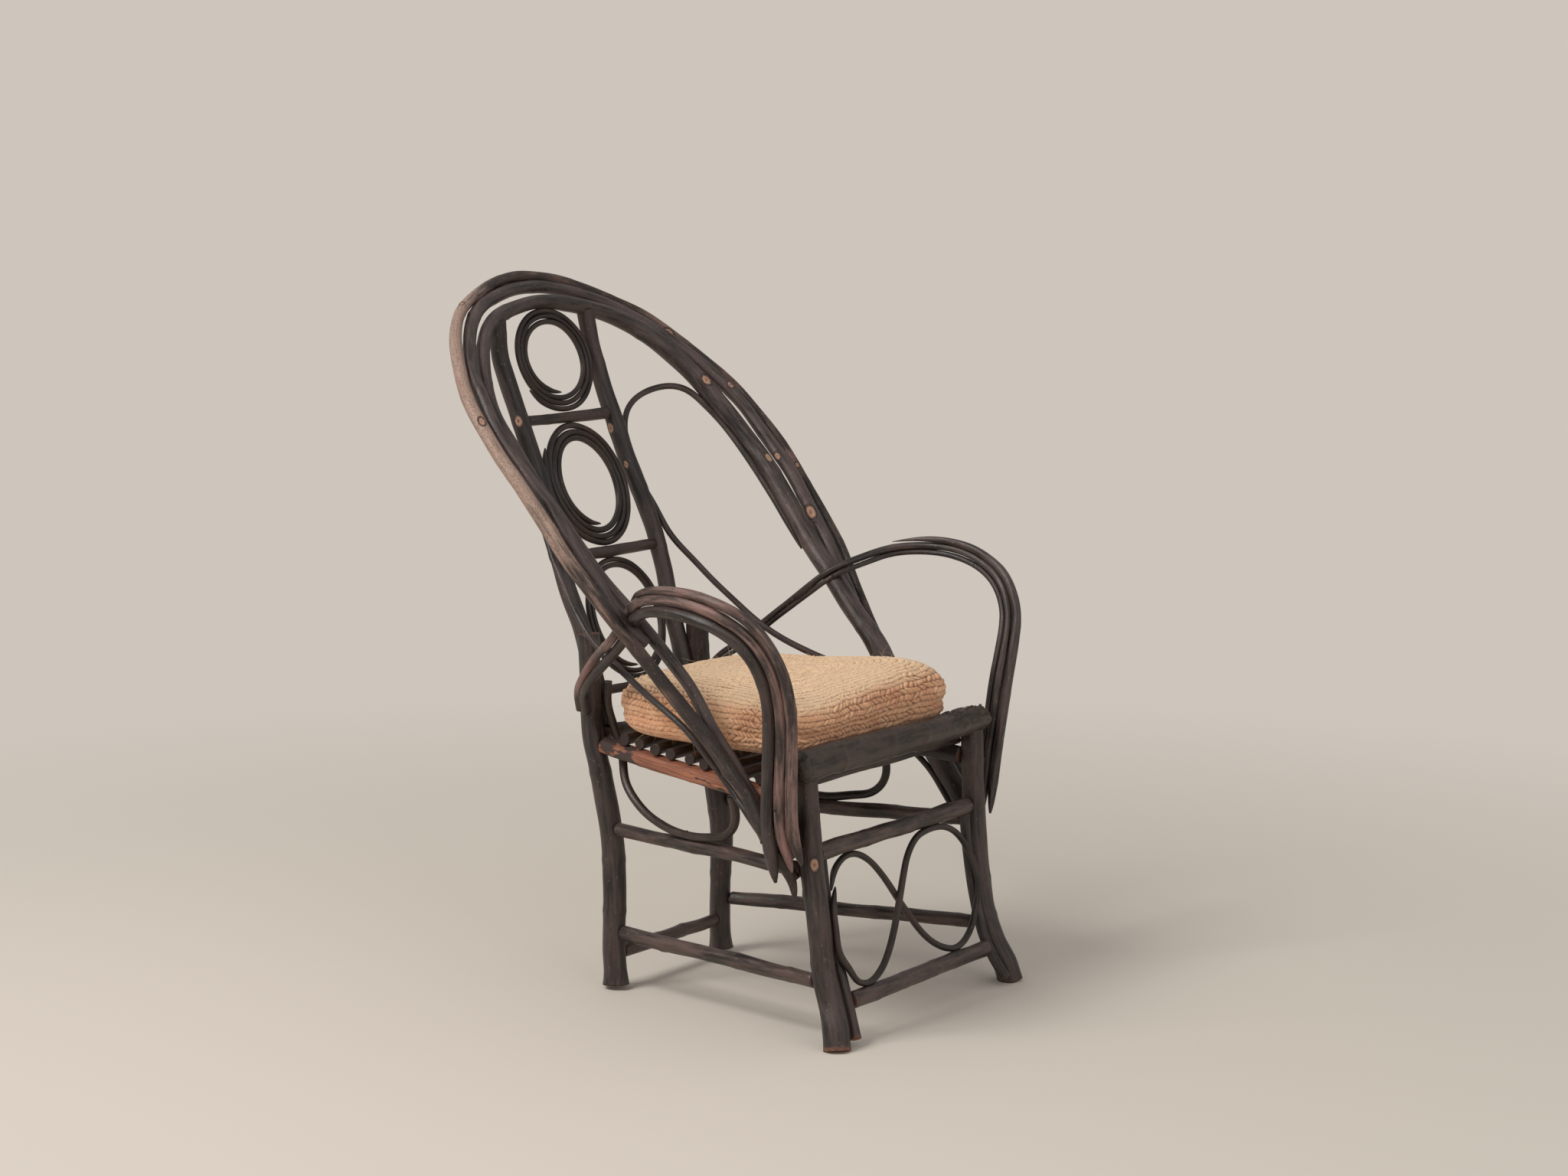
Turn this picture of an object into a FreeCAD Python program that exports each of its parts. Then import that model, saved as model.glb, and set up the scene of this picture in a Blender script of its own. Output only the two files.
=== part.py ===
import FreeCAD, Part

import math
import os

import Sketcher
from FreeCAD import Placement, Rotation, Vector

# Twig armchair: crooked posts, a seat of sticks, a back of bent hoops, coils and loops, bent arms
# and a loose straw cushion. The sitter faces -Y, right is -X and up is +Z.

# Every size that can be set by itself, in millimetres.
SIZES = {
    # reaches that the twigs' routes follow
    "half_span": 354,
    "back_reach": 776,
    "seat_height": 400,
    "crown_height": 1105,
    "foot_to_centre": 385,
    # room left between pieces that touch and between the turns of a coil
    "clearance": 0.4,
    "turn_gap": 0.8,
    # posts
    "front_foot_radius": 19.5,
    "front_post_radius": 16.5,
    "rear_foot_radius": 20,
    "rear_post_radius": 17.5,
    "foot_stick_radius": 8.5,
    "cope_depth": 7,
    # seat
    "front_rail_radius": 22.5,
    "front_rail_half_length": 266,
    "edge_slat_radius": 7.5,
    "side_rail_radius": 13.5,
    "side_rail_drop": 12,
    "side_rail_rise": 30,
    "rear_seat_rail_radius": 12,
    "slat_radius": 8.5,
    "slat_pitch": 37,
    "first_slat_setback": 47,
    # rungs
    "front_rung_radius": 11,
    "front_rung_upper_height": 282,
    "front_rung_lower_height": 62,
    "side_rung_radius": 10,
    "side_rung_upper_height": 257,
    "side_rung_lower_height": 92,
    "rear_rung_radius": 9.5,
    "rear_rung_height": 57,
    "rung_bevel": 2.5,
    "cross_rail_radius": 7,
    "cross_rail_rise": 63,
    # back
    "hoop_outer_right_radius": 11.5,
    "hoop_outer_left_radius": 6.5,
    "hoop_middle_right_radius": 8.5,
    "hoop_middle_left_radius": 10,
    "hoop_inner_right_radius": 9,
    "hoop_inner_left_radius": 13.5,
    "stile_radius": 13.5,
    "back_bar_radius": 9,
    "lower_bar_radius": 9,
    "upper_coil_twig_radius": 4.2,
    "middle_coil_twig_radius": 4.9,
    "lower_coil_twig_radius": 4.2,
    "side_loop_radius": 5,
    # arms
    "arm_outer_right_radius": 9.5,
    "arm_middle_right_radius": 10,
    "arm_inner_right_radius": 11.5,
    "arm_outer_left_radius": 8.5,
    "arm_middle_left_radius": 7.5,
    "arm_inner_left_radius": 5.5,
    "arm_right_drop": 7,
    "arm_left_drop": 0,
    # thin bent twigs below the seat
    "seat_brace_radius": 6.5,
    "scroll_radius": 5,
    "scroll_half_width": 209,
    # cushion
    "cushion_half_depth": 200,
    "cushion_setback": 215,
    "cushion_side_room": 13,
    "cushion_thickness": 87,
    "cushion_front_corner_radius": 74,
    "cushion_rear_corner_radius": 112,
    "cushion_edge_radius": 30,
}

doc = FreeCAD.newDocument("twig_chair")
sizes = doc.addObject("Spreadsheet::Sheet", "sizes")


def write_cell(alias, value):
    """Put a plain number into the next row of the sheet and name its cell."""
    row = write_cell.row
    sizes.set(f"A{row}", alias)
    sizes.set(f"B{row}", f"{value:.6f}")
    sizes.setAlias(f"B{row}", alias)
    write_cell.row += 1


write_cell.row = 1
for alias, value in SIZES.items():
    write_cell(alias, value)
doc.recompute()

# Shares of the reaches that the routes are drawn in: across, back and up. The seat lies at its own
# share of the way up, so the legs follow the seat's height and the back follows the crown's.
SEAT_SHARE = 0.362
FRONT_POST_SHARE = (
    (.706, 0, 0), (.698, .004, .02), (.664, .024, .051), (.644, .048, .1), (.647, .059, .155),
    (.653, .072, .21), (.655, .077, .265), (.664, .082, .325), (.667, .082, .362),
)
FOOT_STICK_SHARE = (
    (.621, -0.021, 0), (.576, .015, .054), (.579, .045, .114), (.579, .07, .206),
    (.579, .071, .245),
)
REAR_POST_SHARE = (
    (.404, .626, 0), (.404, .628, .027), (.41, .633, .212), (.412, .652, .29), (.415, .674, .364),
    (.412, .684, .434), (.41, .688, .507),
)
SIDE_RAIL_SHARE = (
    (.644, .103, 0), (.638, .193, 0), (.619, .282, 0), (.579, .369, 0), (.523, .483, 0),
    (.424, .634, 0),
)
HOOP_OUTER_SHARE = (
    (.706, .089, .195), (.74, .101, .226), (.763, .121, .26), (.763, .156, .298),
    (.768, .188, .331), (.774, .22, .359), (.78, .268, .399), (.802, .307, .432),
    (.831, .36, .475), (.89, .427, .534), (.955, .487, .595), (.98, .54, .642), (.997, .619, .712),
    (.997, .702, .778), (.966, .768, .829), (.924, .805, .853), (.845, .851, .885),
    (.715, .909, .929), (.545, .954, .96), (.282, .987, .988), (0, 1, 1),
)
HOOP_MIDDLE_SHARE = (
    (.816, .415, .52), (.842, .448, .548), (.87, .491, .595), (.898, .543, .643),
    (.91, .613, .712), (.918, .683, .764), (.918, .722, .796), (.862, .785, .843),
    (.797, .834, .877), (.664, .892, .919), (.503, .938, .951), (.26, .974, .977), (0, .987, .986),
)
HOOP_INNER_SHARE = (
    (.712, .119, .249), (.709, .146, .28), (.712, .201, .343), (.718, .242, .381),
    (.72, .289, .414), (.726, .322, .459), (.729, .362, .49), (.737, .403, .522),
    (.76, .448, .557), (.794, .517, .604), (.814, .57, .65), (.825, .619, .693),
    (.833, .666, .733), (.816, .742, .792), (.791, .787, .827), (.726, .831, .865),
    (.616, .875, .906), (.452, .921, .939), (.226, .943, .957), (0, .952, .965),
)
STILE_RIGHT_SHARE = (
    (.325, .675, .384), (.328, .709, .45), (.331, .74, .518), (.347, .764, .567),
    (.35, .789, .617), (.333, .817, .674), (.319, .847, .729), (.336, .876, .785),
    (.347, .906, .841), (.362, .928, .89), (.376, .941, .941),
)
STILE_LEFT_SHARE = (
    (.325, .675, .384), (.331, .709, .45), (.35, .74, .518), (.381, .764, .567), (.39, .789, .617),
    (.37, .817, .674), (.345, .847, .729), (.339, .876, .785), (.325, .906, .841),
    (.311, .927, .89), (.285, .942, .947),
)
SIDE_LOOP_SHARE = (
    (.678, .111, .222), (.698, .149, .258), (.706, .201, .299), (.701, .262, .344),
    (.703, .298, .372), (.706, .341, .403), (.701, .397, .428), (.647, .472, .449),
    (.616, .519, .464), (.59, .571, .483), (.576, .625, .51), (.54, .673, .542),
    (.486, .726, .582), (.435, .778, .627), (.407, .808, .66), (.393, .843, .705),
    (.41, .87, .751), (.441, .889, .788), (.48, .889, .808), (.542, .883, .82), (.61, .871, .829),
    (.678, .847, .833), (.729, .822, .829), (.757, .789, .808), (.768, .755, .78),
    (.777, .709, .748), (.78, .649, .697), (.777, .619, .67), (.754, .582, .632),
    (.743, .541, .593),
)
ARM_RIGHT_SHARE = (
    (.74, .09, .226), (.78, .09, .255), (.814, .088, .302), (.828, .082, .347), (.85, .073, .413),
    (.895, .067, .478), (.941, .072, .52), (.989, .111, .566), (1.02, .157, .587),
    (1.025, .222, .6), (1.014, .296, .605), (.977, .366, .597), (.893, .42, .58),
    (.774, .443, .558), (.695, .496, .532), (.667, .581, .498), (.607, .644, .457),
    (.52, .686, .429), (.486, .696, .404),
)
ARM_LEFT_SHARE = (
    (.74, .09, .226), (.78, .09, .255), (.814, .088, .302), (.828, .082, .347), (.85, .073, .413),
    (.895, .067, .478), (.941, .072, .52), (.989, .111, .566), (1.02, .157, .587),
    (1.025, .222, .602), (1.011, .291, .606), (.946, .356, .602), (.825, .403, .588),
    (.712, .446, .57), (.686, .51, .536), (.667, .581, .498), (.607, .644, .457),
    (.52, .686, .429), (.486, .696, .404),
)
SEAT_BRACE_SHARE = (
    (.367, .655, 1.682), (.367, .652, 1.397), (.364, .642, 1.111), (.37, .621, .826),
    (.41, .598, .461), (.446, .546, .191), (.492, .472, .04), (.531, .399, .017),
    (.562, .348, .025), (.579, .304, .064), (.59, .276, .183), (.596, .269, .366),
    (.599, .276, .572),
)

SIDES = {"right": -1, "left": 1}
TAPER_SHARE = 0.62
ROUNDS = 40
SETTLED_SHARE = 0.05
POST_SIDES = 16
HOOP_SIDES = 12
TWIG_SIDES = 8


class Twig:
    """A bent stick: the centre and the radius of each station along it."""

    def __init__(self, points, radii):
        self.points = list(points)
        self.radii = list(radii)

    def spans(self):
        """Give both ends and both radii of every stretch between stations."""
        return list(zip(self.points, self.points[1:], self.radii, self.radii[1:]))

    def at_height(self, height):
        """Find the centre and the radius where the twig passes a height."""
        for start, end, start_radius, end_radius in self.spans():
            low, high = sorted((start.z, end.z))
            if low <= height <= high and high > low:
                part = (height - start.z) / (end.z - start.z)
                return start + (end - start) * part, start_radius + (end_radius - start_radius) * part
        last = min(zip(self.points, self.radii), key=lambda station: abs(station[0].z - height))
        return last

    def at_depth(self, depth):
        """Find the centre and the radius where the twig passes a place from front to back."""
        for start, end, start_radius, end_radius in self.spans():
            near, far = sorted((start.y, end.y))
            if near <= depth <= far and far > near:
                part = (depth - start.y) / (end.y - start.y)
                return start + (end - start) * part, start_radius + (end_radius - start_radius) * part
        return min(zip(self.points, self.radii), key=lambda station: abs(station[0].y - depth))

    def nearest(self, point):
        """Find the closest centre on the twig to a point, and the radius there."""
        best = None
        for start, end, start_radius, end_radius in self.spans():
            way = end - start
            part = min(1, max(0, (point - start).dot(way) / way.dot(way)))
            centre = start + way * part
            away = (point - centre).Length
            if best is None or away < best[0]:
                best = (away, centre, start_radius + (end_radius - start_radius) * part)
        return best[1], best[2]

    def tangent(self, index):
        """Give the unit direction at a station, halfway between its two stretches."""
        last = len(self.points) - 1
        before = self.points[index] - self.points[max(index - 1, 0)]
        after = self.points[min(index + 1, last)] - self.points[index]
        ways = [way.normalize() for way in (before, after) if way.Length > 0]
        total = Vector(0, 0, 0)
        for way in ways:
            total += way
        return total.normalize()


def rise_to(up):
    """Turn a share of the way up into a height above the floor."""
    if up <= SEAT_SHARE:
        return sizes.seat_height * up / SEAT_SHARE
    above = (up - SEAT_SHARE) / (1 - SEAT_SHARE)
    return sizes.seat_height + (sizes.crown_height - sizes.seat_height) * above


def route(shares, side):
    """Turn a table of shares into places for one side of the chair."""
    return [
        Vector(
            side * across * sizes.half_span,
            back * sizes.back_reach - sizes.foot_to_centre,
            rise_to(up),
        )
        for across, back, up in shares
    ]


def spread(first, last, points):
    """Let a radius run evenly from the first station to the last along the way."""
    reach = [0]
    for start, end in zip(points, points[1:]):
        reach.append(reach[-1] + (end - start).Length)
    return [first + (last - first) * way / reach[-1] for way in reach]


def closest(a, b, c, d):
    """Give the shares along stretches a-b and c-d at which the two come closest."""
    u, v, w = b - a, d - c, a - c
    uu, uv, vv, uw, vw = u.dot(u), u.dot(v), v.dot(v), u.dot(w), v.dot(w)
    spread_out = uu * vv - uv * uv
    s = min(1, max(0, (uv * vw - vv * uw) / spread_out)) if spread_out > 1e-9 * uu * vv else 0.5
    t = (uv * s + vw) / vv
    if t < 0 or t > 1:
        t = min(1, max(0, t))
        s = min(1, max(0, (uv * t - uw) / uu))
    return s, t


def push_off(twig, other, room, fixed):
    """Shift the twig's stations until each of its stretches clears the other twig."""
    worst = 0
    for index in range(len(twig.points) - 1):
        for start, end, start_radius, end_radius in other.spans():
            a, b = twig.points[index], twig.points[index + 1]
            ra, rb = twig.radii[index], twig.radii[index + 1]
            reach = ((b - a).Length + (end - start).Length) / 2 + max(ra, rb) + max(start_radius, end_radius)
            if ((a + b) / 2 - (start + end) / 2).Length > reach + room:
                continue
            s, t = closest(a, b, start, end)
            apart = a + (b - a) * s - start - (end - start) * t
            wanted = ra + (rb - ra) * s + start_radius + (end_radius - start_radius) * t + room
            short = wanted - apart.Length
            if short <= 0:
                continue
            worst = max(worst, short)
            weights = [0 if index in fixed else 1 - s, 0 if index + 1 in fixed else s]
            total = weights[0] ** 2 + weights[1] ** 2
            if total == 0:
                continue
            step = apart.normalize() * short
            twig.points[index] = a + step * (weights[0] / total)
            twig.points[index + 1] = b + step * (weights[1] / total)
    return worst


def lay(points, radii, seats=(), against=(), fixed=()):
    """Bend a twig so that it touches its seats and clears every twig it is laid against.

    The twig keeps its route, except that each station named in seats is drawn to the surface
    of the piece it is nailed to, and a stretch that would run into a neighbour is pushed off it.
    """
    twig = Twig(points, radii)
    room = sizes.clearance
    for _ in range(ROUNDS):
        for index, other in seats:
            centre, radius = other.nearest(twig.points[index])
            away = (twig.points[index] - centre).normalize()
            twig.points[index] = centre + away * (radius + twig.radii[index] + room)
        for other in against:
            push_off(twig, other, room, fixed)
    for _ in range(ROUNDS):
        left = max([push_off(twig, other, room, fixed) for other in against], default=0)
        if left < room * SETTLED_SHARE:
            break
    return twig


def butt(start, other, target, radius):
    """Give where a stick's flat end stops, on its way from start to a target on another twig.

    The end is square to the stick, so where the other twig leans towards it the rim would touch
    first, and the end stops that much sooner.
    """
    way = (target - start).normalize()
    centre, other_radius = other.nearest(target)
    before, after = min(
        zip(other.points, other.points[1:]), key=lambda span: ((span[0] + span[1]) / 2 - centre).Length
    )
    lean = abs(way.dot((after - before).normalize()))
    square = math.sqrt(1 - lean * lean)
    return target - way * ((other_radius + sizes.clearance) / square + radius * lean / square)


def section(centre, across, up, radius, sides):
    """Draw one closed section whose corners and flats lie evenly about the circle."""
    reach = 2 * radius / (1 + math.cos(math.pi / sides))
    turns = [2 * math.pi * k / sides for k in range(sides)]
    corners = [centre + across * (reach * math.cos(a)) + up * (reach * math.sin(a)) for a in turns]
    return Part.makePolygon(corners + corners[:1])


def skin(twig, sides, first=None, last=None):
    """Loft the twig's bark through its sections, each square to the way there."""
    directions = [twig.tangent(index) for index in range(len(twig.points))]
    directions[0] = first or directions[0]
    directions[-1] = last or directions[-1]
    across = directions[0].cross(Vector(1, 0, 0) if abs(directions[0].x) < 0.8 else Vector(0, 1, 0))
    wires = []
    for centre, radius, way in zip(twig.points, twig.radii, directions):
        across = (across - way * across.dot(way)).normalize()
        wires.append(section(centre, across, way.cross(across), radius, sides))
    return Part.makeLoft(wires, True, True)


nodes = []


def keep(label, shape):
    """Add one finished piece to the document under its own label."""
    piece = doc.addObject("Part::Feature", label)
    piece.Shape = shape
    piece.Label = label
    nodes.append(piece)
    return piece


def add_sketch(body, name, radius, height):
    """Draw a circle of a named radius, square to the body's axis at a height."""
    sketch = body.newObject("Sketcher::SketchObject", name)
    planes = [plane for plane in body.Origin.OriginFeatures if plane.Role == "XY_Plane"]
    sketch.AttachmentSupport = [(planes[0], "")]
    sketch.MapMode = "FlatFace"
    if height:
        sketch.setExpression("AttachmentOffset.Base.z", f"sizes.{height}")
    sketch.addGeometry(Part.Circle(Vector(0, 0, 0), Vector(0, 0, 1), getattr(sizes, radius)))
    sketch.addConstraint(Sketcher.Constraint("Coincident", 0, 3, -1, 1))
    index = sketch.addConstraint(Sketcher.Constraint("Radius", 0, getattr(sizes, radius)))
    sketch.setExpression(f"Constraints[{index}]", f"sizes.{radius}")
    return sketch


def straight_stick(label, start, end, radius, bevel=None):
    """Make a straight stick between two places, its ends whittled where a bevel is named."""
    write_cell(f"{label}_length", (end - start).Length)
    doc.recompute()
    body = doc.addObject("PartDesign::Body", label)
    body.Label = label
    sketch = add_sketch(body, f"{label}_section", radius, None)
    stick = body.newObject("PartDesign::Pad", f"{label}_pad")
    stick.Profile = sketch
    stick.setExpression("Length", f"sizes.{label}_length")
    doc.recompute()
    if bevel:
        rims = [
            f"Edge{number}"
            for number, edge in enumerate(stick.Shape.Edges, 1)
            if edge.isClosed() and isinstance(edge.Curve, Part.Circle)
        ]
        whittled = body.newObject("PartDesign::Chamfer", f"{label}_bevel")
        whittled.Base = (stick, rims)
        whittled.setExpression("Size", f"sizes.{bevel}")
    body.Placement = Placement(start, Rotation(Vector(0, 0, 1), end - start))
    nodes.append(body)
    value = getattr(sizes, radius)
    return Twig([start, end], [value, value])


twigs = {}

# Posts: each front post leans and swells at the foot, with a thin stick on its inner side.
for name, side in SIDES.items():
    points = route(FRONT_POST_SHARE, side)
    radii = spread(sizes.front_foot_radius, sizes.front_post_radius, points)
    twigs[f"front_leg_{name}"] = Twig(points, radii)
    points = route(REAR_POST_SHARE, side)
    radii = [sizes.rear_foot_radius] + [sizes.rear_post_radius] * (len(points) - 1)
    twigs[f"rear_leg_{name}"] = Twig(points, radii)

# Front rail: a log lying across the two front posts, which are coped to receive it.
post_top = twigs["front_leg_left"].points[-1].z
rail_height = post_top + sizes.front_rail_radius - sizes.cope_depth
rail_depth = twigs["front_leg_left"].points[-1].y
RAIL_SHARE = ((-1, 0, 0), (-0.35, 0.006, 0.004), (0.4, -0.004, -0.003), (1, 0.002, 0.002))
points = [
    Vector(
        across * sizes.front_rail_half_length,
        rail_depth + back * sizes.front_rail_half_length,
        rail_height + up * sizes.front_rail_half_length,
    )
    for across, back, up in RAIL_SHARE
]
twigs["front_rail"] = Twig(points, [sizes.front_rail_radius] * len(points))
keep("front_rail", skin(twigs["front_rail"], POST_SIDES))

plumb = Vector(0, 0, 1)
cope = Twig(points, [sizes.front_rail_radius + sizes.clearance] * len(points))
for name in SIDES:
    leg = twigs[f"front_leg_{name}"]
    keep(f"front_leg_{name}", skin(leg, POST_SIDES, first=plumb).cut(skin(cope, POST_SIDES)))
    keep(f"rear_leg_{name}", skin(twigs[f"rear_leg_{name}"], POST_SIDES, first=plumb))

# Front rungs: the upper one runs from post to post, the lower one between the foot sticks.
def between(first, second, height, radius):
    """Give the two ends of a stick that runs between two twigs at one height."""
    start, end = first.at_height(height)[0], second.at_height(height)[0]
    return butt(end, first, start, radius), butt(start, second, end, radius)


height = sizes.front_rung_upper_height
ends = between(
    twigs["front_leg_right"], twigs["front_leg_left"], height, sizes.front_rung_radius
)
twigs["front_rung_upper"] = straight_stick("front_rung_upper", *ends, "front_rung_radius", "rung_bevel")

# Foot sticks: each rises beside its post and stops under the upper front rung.
rung_under = height - sizes.front_rung_radius - sizes.clearance
for name, side in SIDES.items():
    points = route(FOOT_STICK_SHARE, side)
    points[-1].z = rung_under
    points[-1].y = ends[0].y
    radii = [sizes.foot_stick_radius] * len(points)
    stick = lay(points, radii, against=[twigs[f"front_leg_{name}"]], fixed=(len(points) - 1,))
    stick.points[0].z = 0
    twigs[f"leg_stick_{name}"] = stick
    keep(f"leg_stick_{name}", skin(stick, HOOP_SIDES, first=plumb, last=plumb))

height = sizes.front_rung_lower_height
ends = between(
    twigs["leg_stick_right"], twigs["leg_stick_left"], height, sizes.front_rung_radius
)
twigs["front_rung_lower"] = straight_stick("front_rung_lower", *ends, "front_rung_radius", "rung_bevel")

# Side rungs: two on each side, from the front post back to the rear post.
for name, side in SIDES.items():
    for level in ("upper", "lower"):
        height = getattr(sizes, f"side_rung_{level}_height")
        ends = between(
            twigs[f"front_leg_{name}"], twigs[f"rear_leg_{name}"], height, sizes.side_rung_radius
        )
        label = f"side_rung_{level}_{name}"
        twigs[label] = straight_stick(label, *ends, "side_rung_radius", "rung_bevel")

# Rear rung and rear seat rail: straight sticks between the rear posts.
for label, height, radius in (
    ("rear_rung_lower", sizes.rear_rung_height, "rear_rung_radius"),
    ("rear_seat_rail", sizes.seat_height, "rear_seat_rail_radius"),
):
    ends = between(
        twigs["rear_leg_right"], twigs["rear_leg_left"], height, getattr(sizes, radius)
    )
    twigs[label] = straight_stick(label, *ends, radius)

# Side rails: bowed sticks that climb to the rear, from the back of one post to the face of the other.
for name, side in SIDES.items():
    points = route(SIDE_RAIL_SHARE, side)
    front, rear = points[0].y, points[-1].y
    for point in points:
        fall = sizes.side_rail_rise * (rear - point.y) / (rear - front)
        point.z = sizes.seat_height - sizes.side_rail_drop - fall
    radii = [sizes.side_rail_radius] * len(points)
    for index, inner, post in ((0, 1, "front_leg"), (-1, -2, "rear_leg")):
        centre, _ = twigs[f"{post}_{name}"].at_height(points[index].z)
        target = Vector(points[index].x, centre.y, points[index].z)
        ahead = Vector(target.x, points[inner].y, target.z)
        points[index] = butt(ahead, twigs[f"{post}_{name}"], target, sizes.side_rail_radius)
    rail = Twig(points, radii)
    twigs[f"side_rail_{name}"] = rail
    square = Vector(0, 1, 0)
    keep(f"side_rail_{name}", skin(rail, POST_SIDES, first=square, last=square))

# Seat slats: round sticks across the two side rails, none quite square to them. The edge slat is
# the foremost, close behind the front rail.
def slat(label, middle, skew, reach, radius):
    """Lay one stick of a named radius over both side rails, a share of its rail's radius longer."""
    ends = []
    for name, side in SIDES.items():
        depth = middle + side * skew * sizes.slat_pitch
        centre, rail_radius = twigs[f"side_rail_{name}"].at_depth(depth)
        lift = rail_radius + getattr(sizes, radius) + sizes.clearance
        ends.append(Vector(centre.x + side * reach * rail_radius, depth, centre.z + lift))
    twigs[label] = straight_stick(label, *ends, radius)


SLAT_SKEW_SHARE = (0.05, -0.06, 0.02, 0.07, -0.04, 0.03, -0.07, 0.05, -0.02, 0.04)
SLAT_REACH_SHARE = (0.75, 0.55, 0.85, 0.6, 0.8, 0.5, 0.7, 0.85, 0.6, 0.8)
behind_rail = sizes.front_rail_radius + sizes.edge_slat_radius + sizes.clearance
slat("seat_edge_slat", rail_depth + behind_rail, 0, SLAT_REACH_SHARE[0], "edge_slat_radius")
for number, (skew, reach) in enumerate(zip(SLAT_SKEW_SHARE, SLAT_REACH_SHARE), 1):
    middle = rail_depth + sizes.first_slat_setback + (number - 1) * sizes.slat_pitch
    slat(f"seat_slat_{number:02d}", middle, skew, reach, "slat_radius")

# Hoops: three twigs bent over the back. Each is laid against the posts, the rails and the hoops
# inside it, and its two ends are nailed behind the front posts.
def hoop(shares, right_radius, left_radius, seats, against):
    """Lay one hoop through its places on the right side, over the crown and down the left."""
    points = route(shares, SIDES["right"]) + route(shares, SIDES["left"])[-2::-1]
    radii = spread(right_radius, left_radius, points)
    return lay(points, radii, seats(len(points) - 1), against)


frame_parts = [
    twigs[f"{part}_{name}"]
    for part in ("front_leg", "side_rail", "side_rung_upper", "rear_leg")
    for name in SIDES
]
twigs["hoop_inner"] = hoop(
    HOOP_INNER_SHARE,
    sizes.hoop_inner_right_radius,
    sizes.hoop_inner_left_radius,
    lambda last: (
        (0, twigs["front_leg_right"]),
        (2, twigs["side_rail_right"]),
        (last, twigs["front_leg_left"]),
        (last - 2, twigs["side_rail_left"]),
    ),
    frame_parts,
)
twigs["hoop_outer"] = hoop(
    HOOP_OUTER_SHARE,
    sizes.hoop_outer_right_radius,
    sizes.hoop_outer_left_radius,
    lambda last: (
        (0, twigs["front_leg_right"]),
        (1, twigs["front_leg_right"]),
        (4, twigs["hoop_inner"]),
        (last, twigs["front_leg_left"]),
        (last - 1, twigs["front_leg_left"]),
        (last - 4, twigs["hoop_inner"]),
    ),
    frame_parts + [twigs["hoop_inner"]],
)
crown = len(HOOP_MIDDLE_SHARE) - 1
twigs["hoop_middle"] = hoop(
    HOOP_MIDDLE_SHARE,
    sizes.hoop_middle_right_radius,
    sizes.hoop_middle_left_radius,
    lambda last: (
        (0, twigs["hoop_inner"]),
        (crown - 1, twigs["hoop_outer"]),
        (crown + 1, twigs["hoop_outer"]),
        (last, twigs["hoop_inner"]),
    ),
    [twigs["hoop_inner"], twigs["hoop_outer"]],
)
for name in ("hoop_inner", "hoop_middle", "hoop_outer"):
    keep(name, skin(twigs[name], HOOP_SIDES))
hoops = [twigs["hoop_inner"], twigs["hoop_middle"], twigs["hoop_outer"]]

# Stiles: each stands on the rear seat rail beside its rear post, and its top is coped to the
# underside of the inner hoop.
inner_hoop = twigs["hoop_inner"]
cope = Twig(inner_hoop.points, [radius + sizes.clearance for radius in inner_hoop.radii])
for name, side in SIDES.items():
    points = route(STILE_RIGHT_SHARE if side < 0 else STILE_LEFT_SHARE, side)
    points[0].z = sizes.seat_height + sizes.rear_seat_rail_radius + sizes.clearance
    centre, radius = cope.nearest(points[-1])
    points[-1] = centre + (points[-2] - centre).normalize() * (radius - sizes.cope_depth)
    radii = [sizes.stile_radius] * len(points)
    post = twigs[f"rear_leg_{name}"]
    stile = lay(points, radii, ((1, post),), (post,), fixed=(len(points) - 1,))
    stile.points[0].z = points[0].z
    twigs[f"back_stile_{name}"] = stile
    keep(f"back_stile_{name}", skin(stile, HOOP_SIDES, first=plumb).cut(skin(cope, HOOP_SIDES)))

# Bars: short sticks between the stiles, which the coils of twig rest on.
UPPER_BAR_SHARE = 0.798
LOWER_BAR_SHARE = 0.606
bars = {}
for label, height, radius in (
    ("back_bar_upper", rise_to(UPPER_BAR_SHARE), "back_bar_radius"),
    ("back_bar_lower", rise_to(LOWER_BAR_SHARE), "lower_bar_radius"),
    ("rear_cross_rail", sizes.seat_height + sizes.cross_rail_rise, "cross_rail_radius"),
):
    ends = between(
        twigs["back_stile_right"], twigs["back_stile_left"], height, getattr(sizes, radius)
    )
    bars[label] = straight_stick(label, *ends, radius)
twigs.update(bars)


# Coils: a thin twig wound into a flat oval spiral, which fills the room between two bars.
def spiral(centre, across, up, wide, tall, step, half_turns):
    """Run half ovals from the foot about two hubs in turn, each one step wider than the last.

    A last share of a half turn follows the whole ones, back up the side from the foot.
    """
    places = []
    whole = int(half_turns)
    for number in range(whole + 1):
        hub = centre - up * (step * (number % 2))
        left = min(1, half_turns - number)
        for part in range(round(HALF_TURN_STATIONS * left) + int(left < 1)):
            turn = math.pi * (number + part / HALF_TURN_STATIONS)
            reach = across * (math.sin(turn) * (wide + number * step))
            places.append(hub + reach - up * (math.cos(turn) * (tall + number * step)))
    return places


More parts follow.
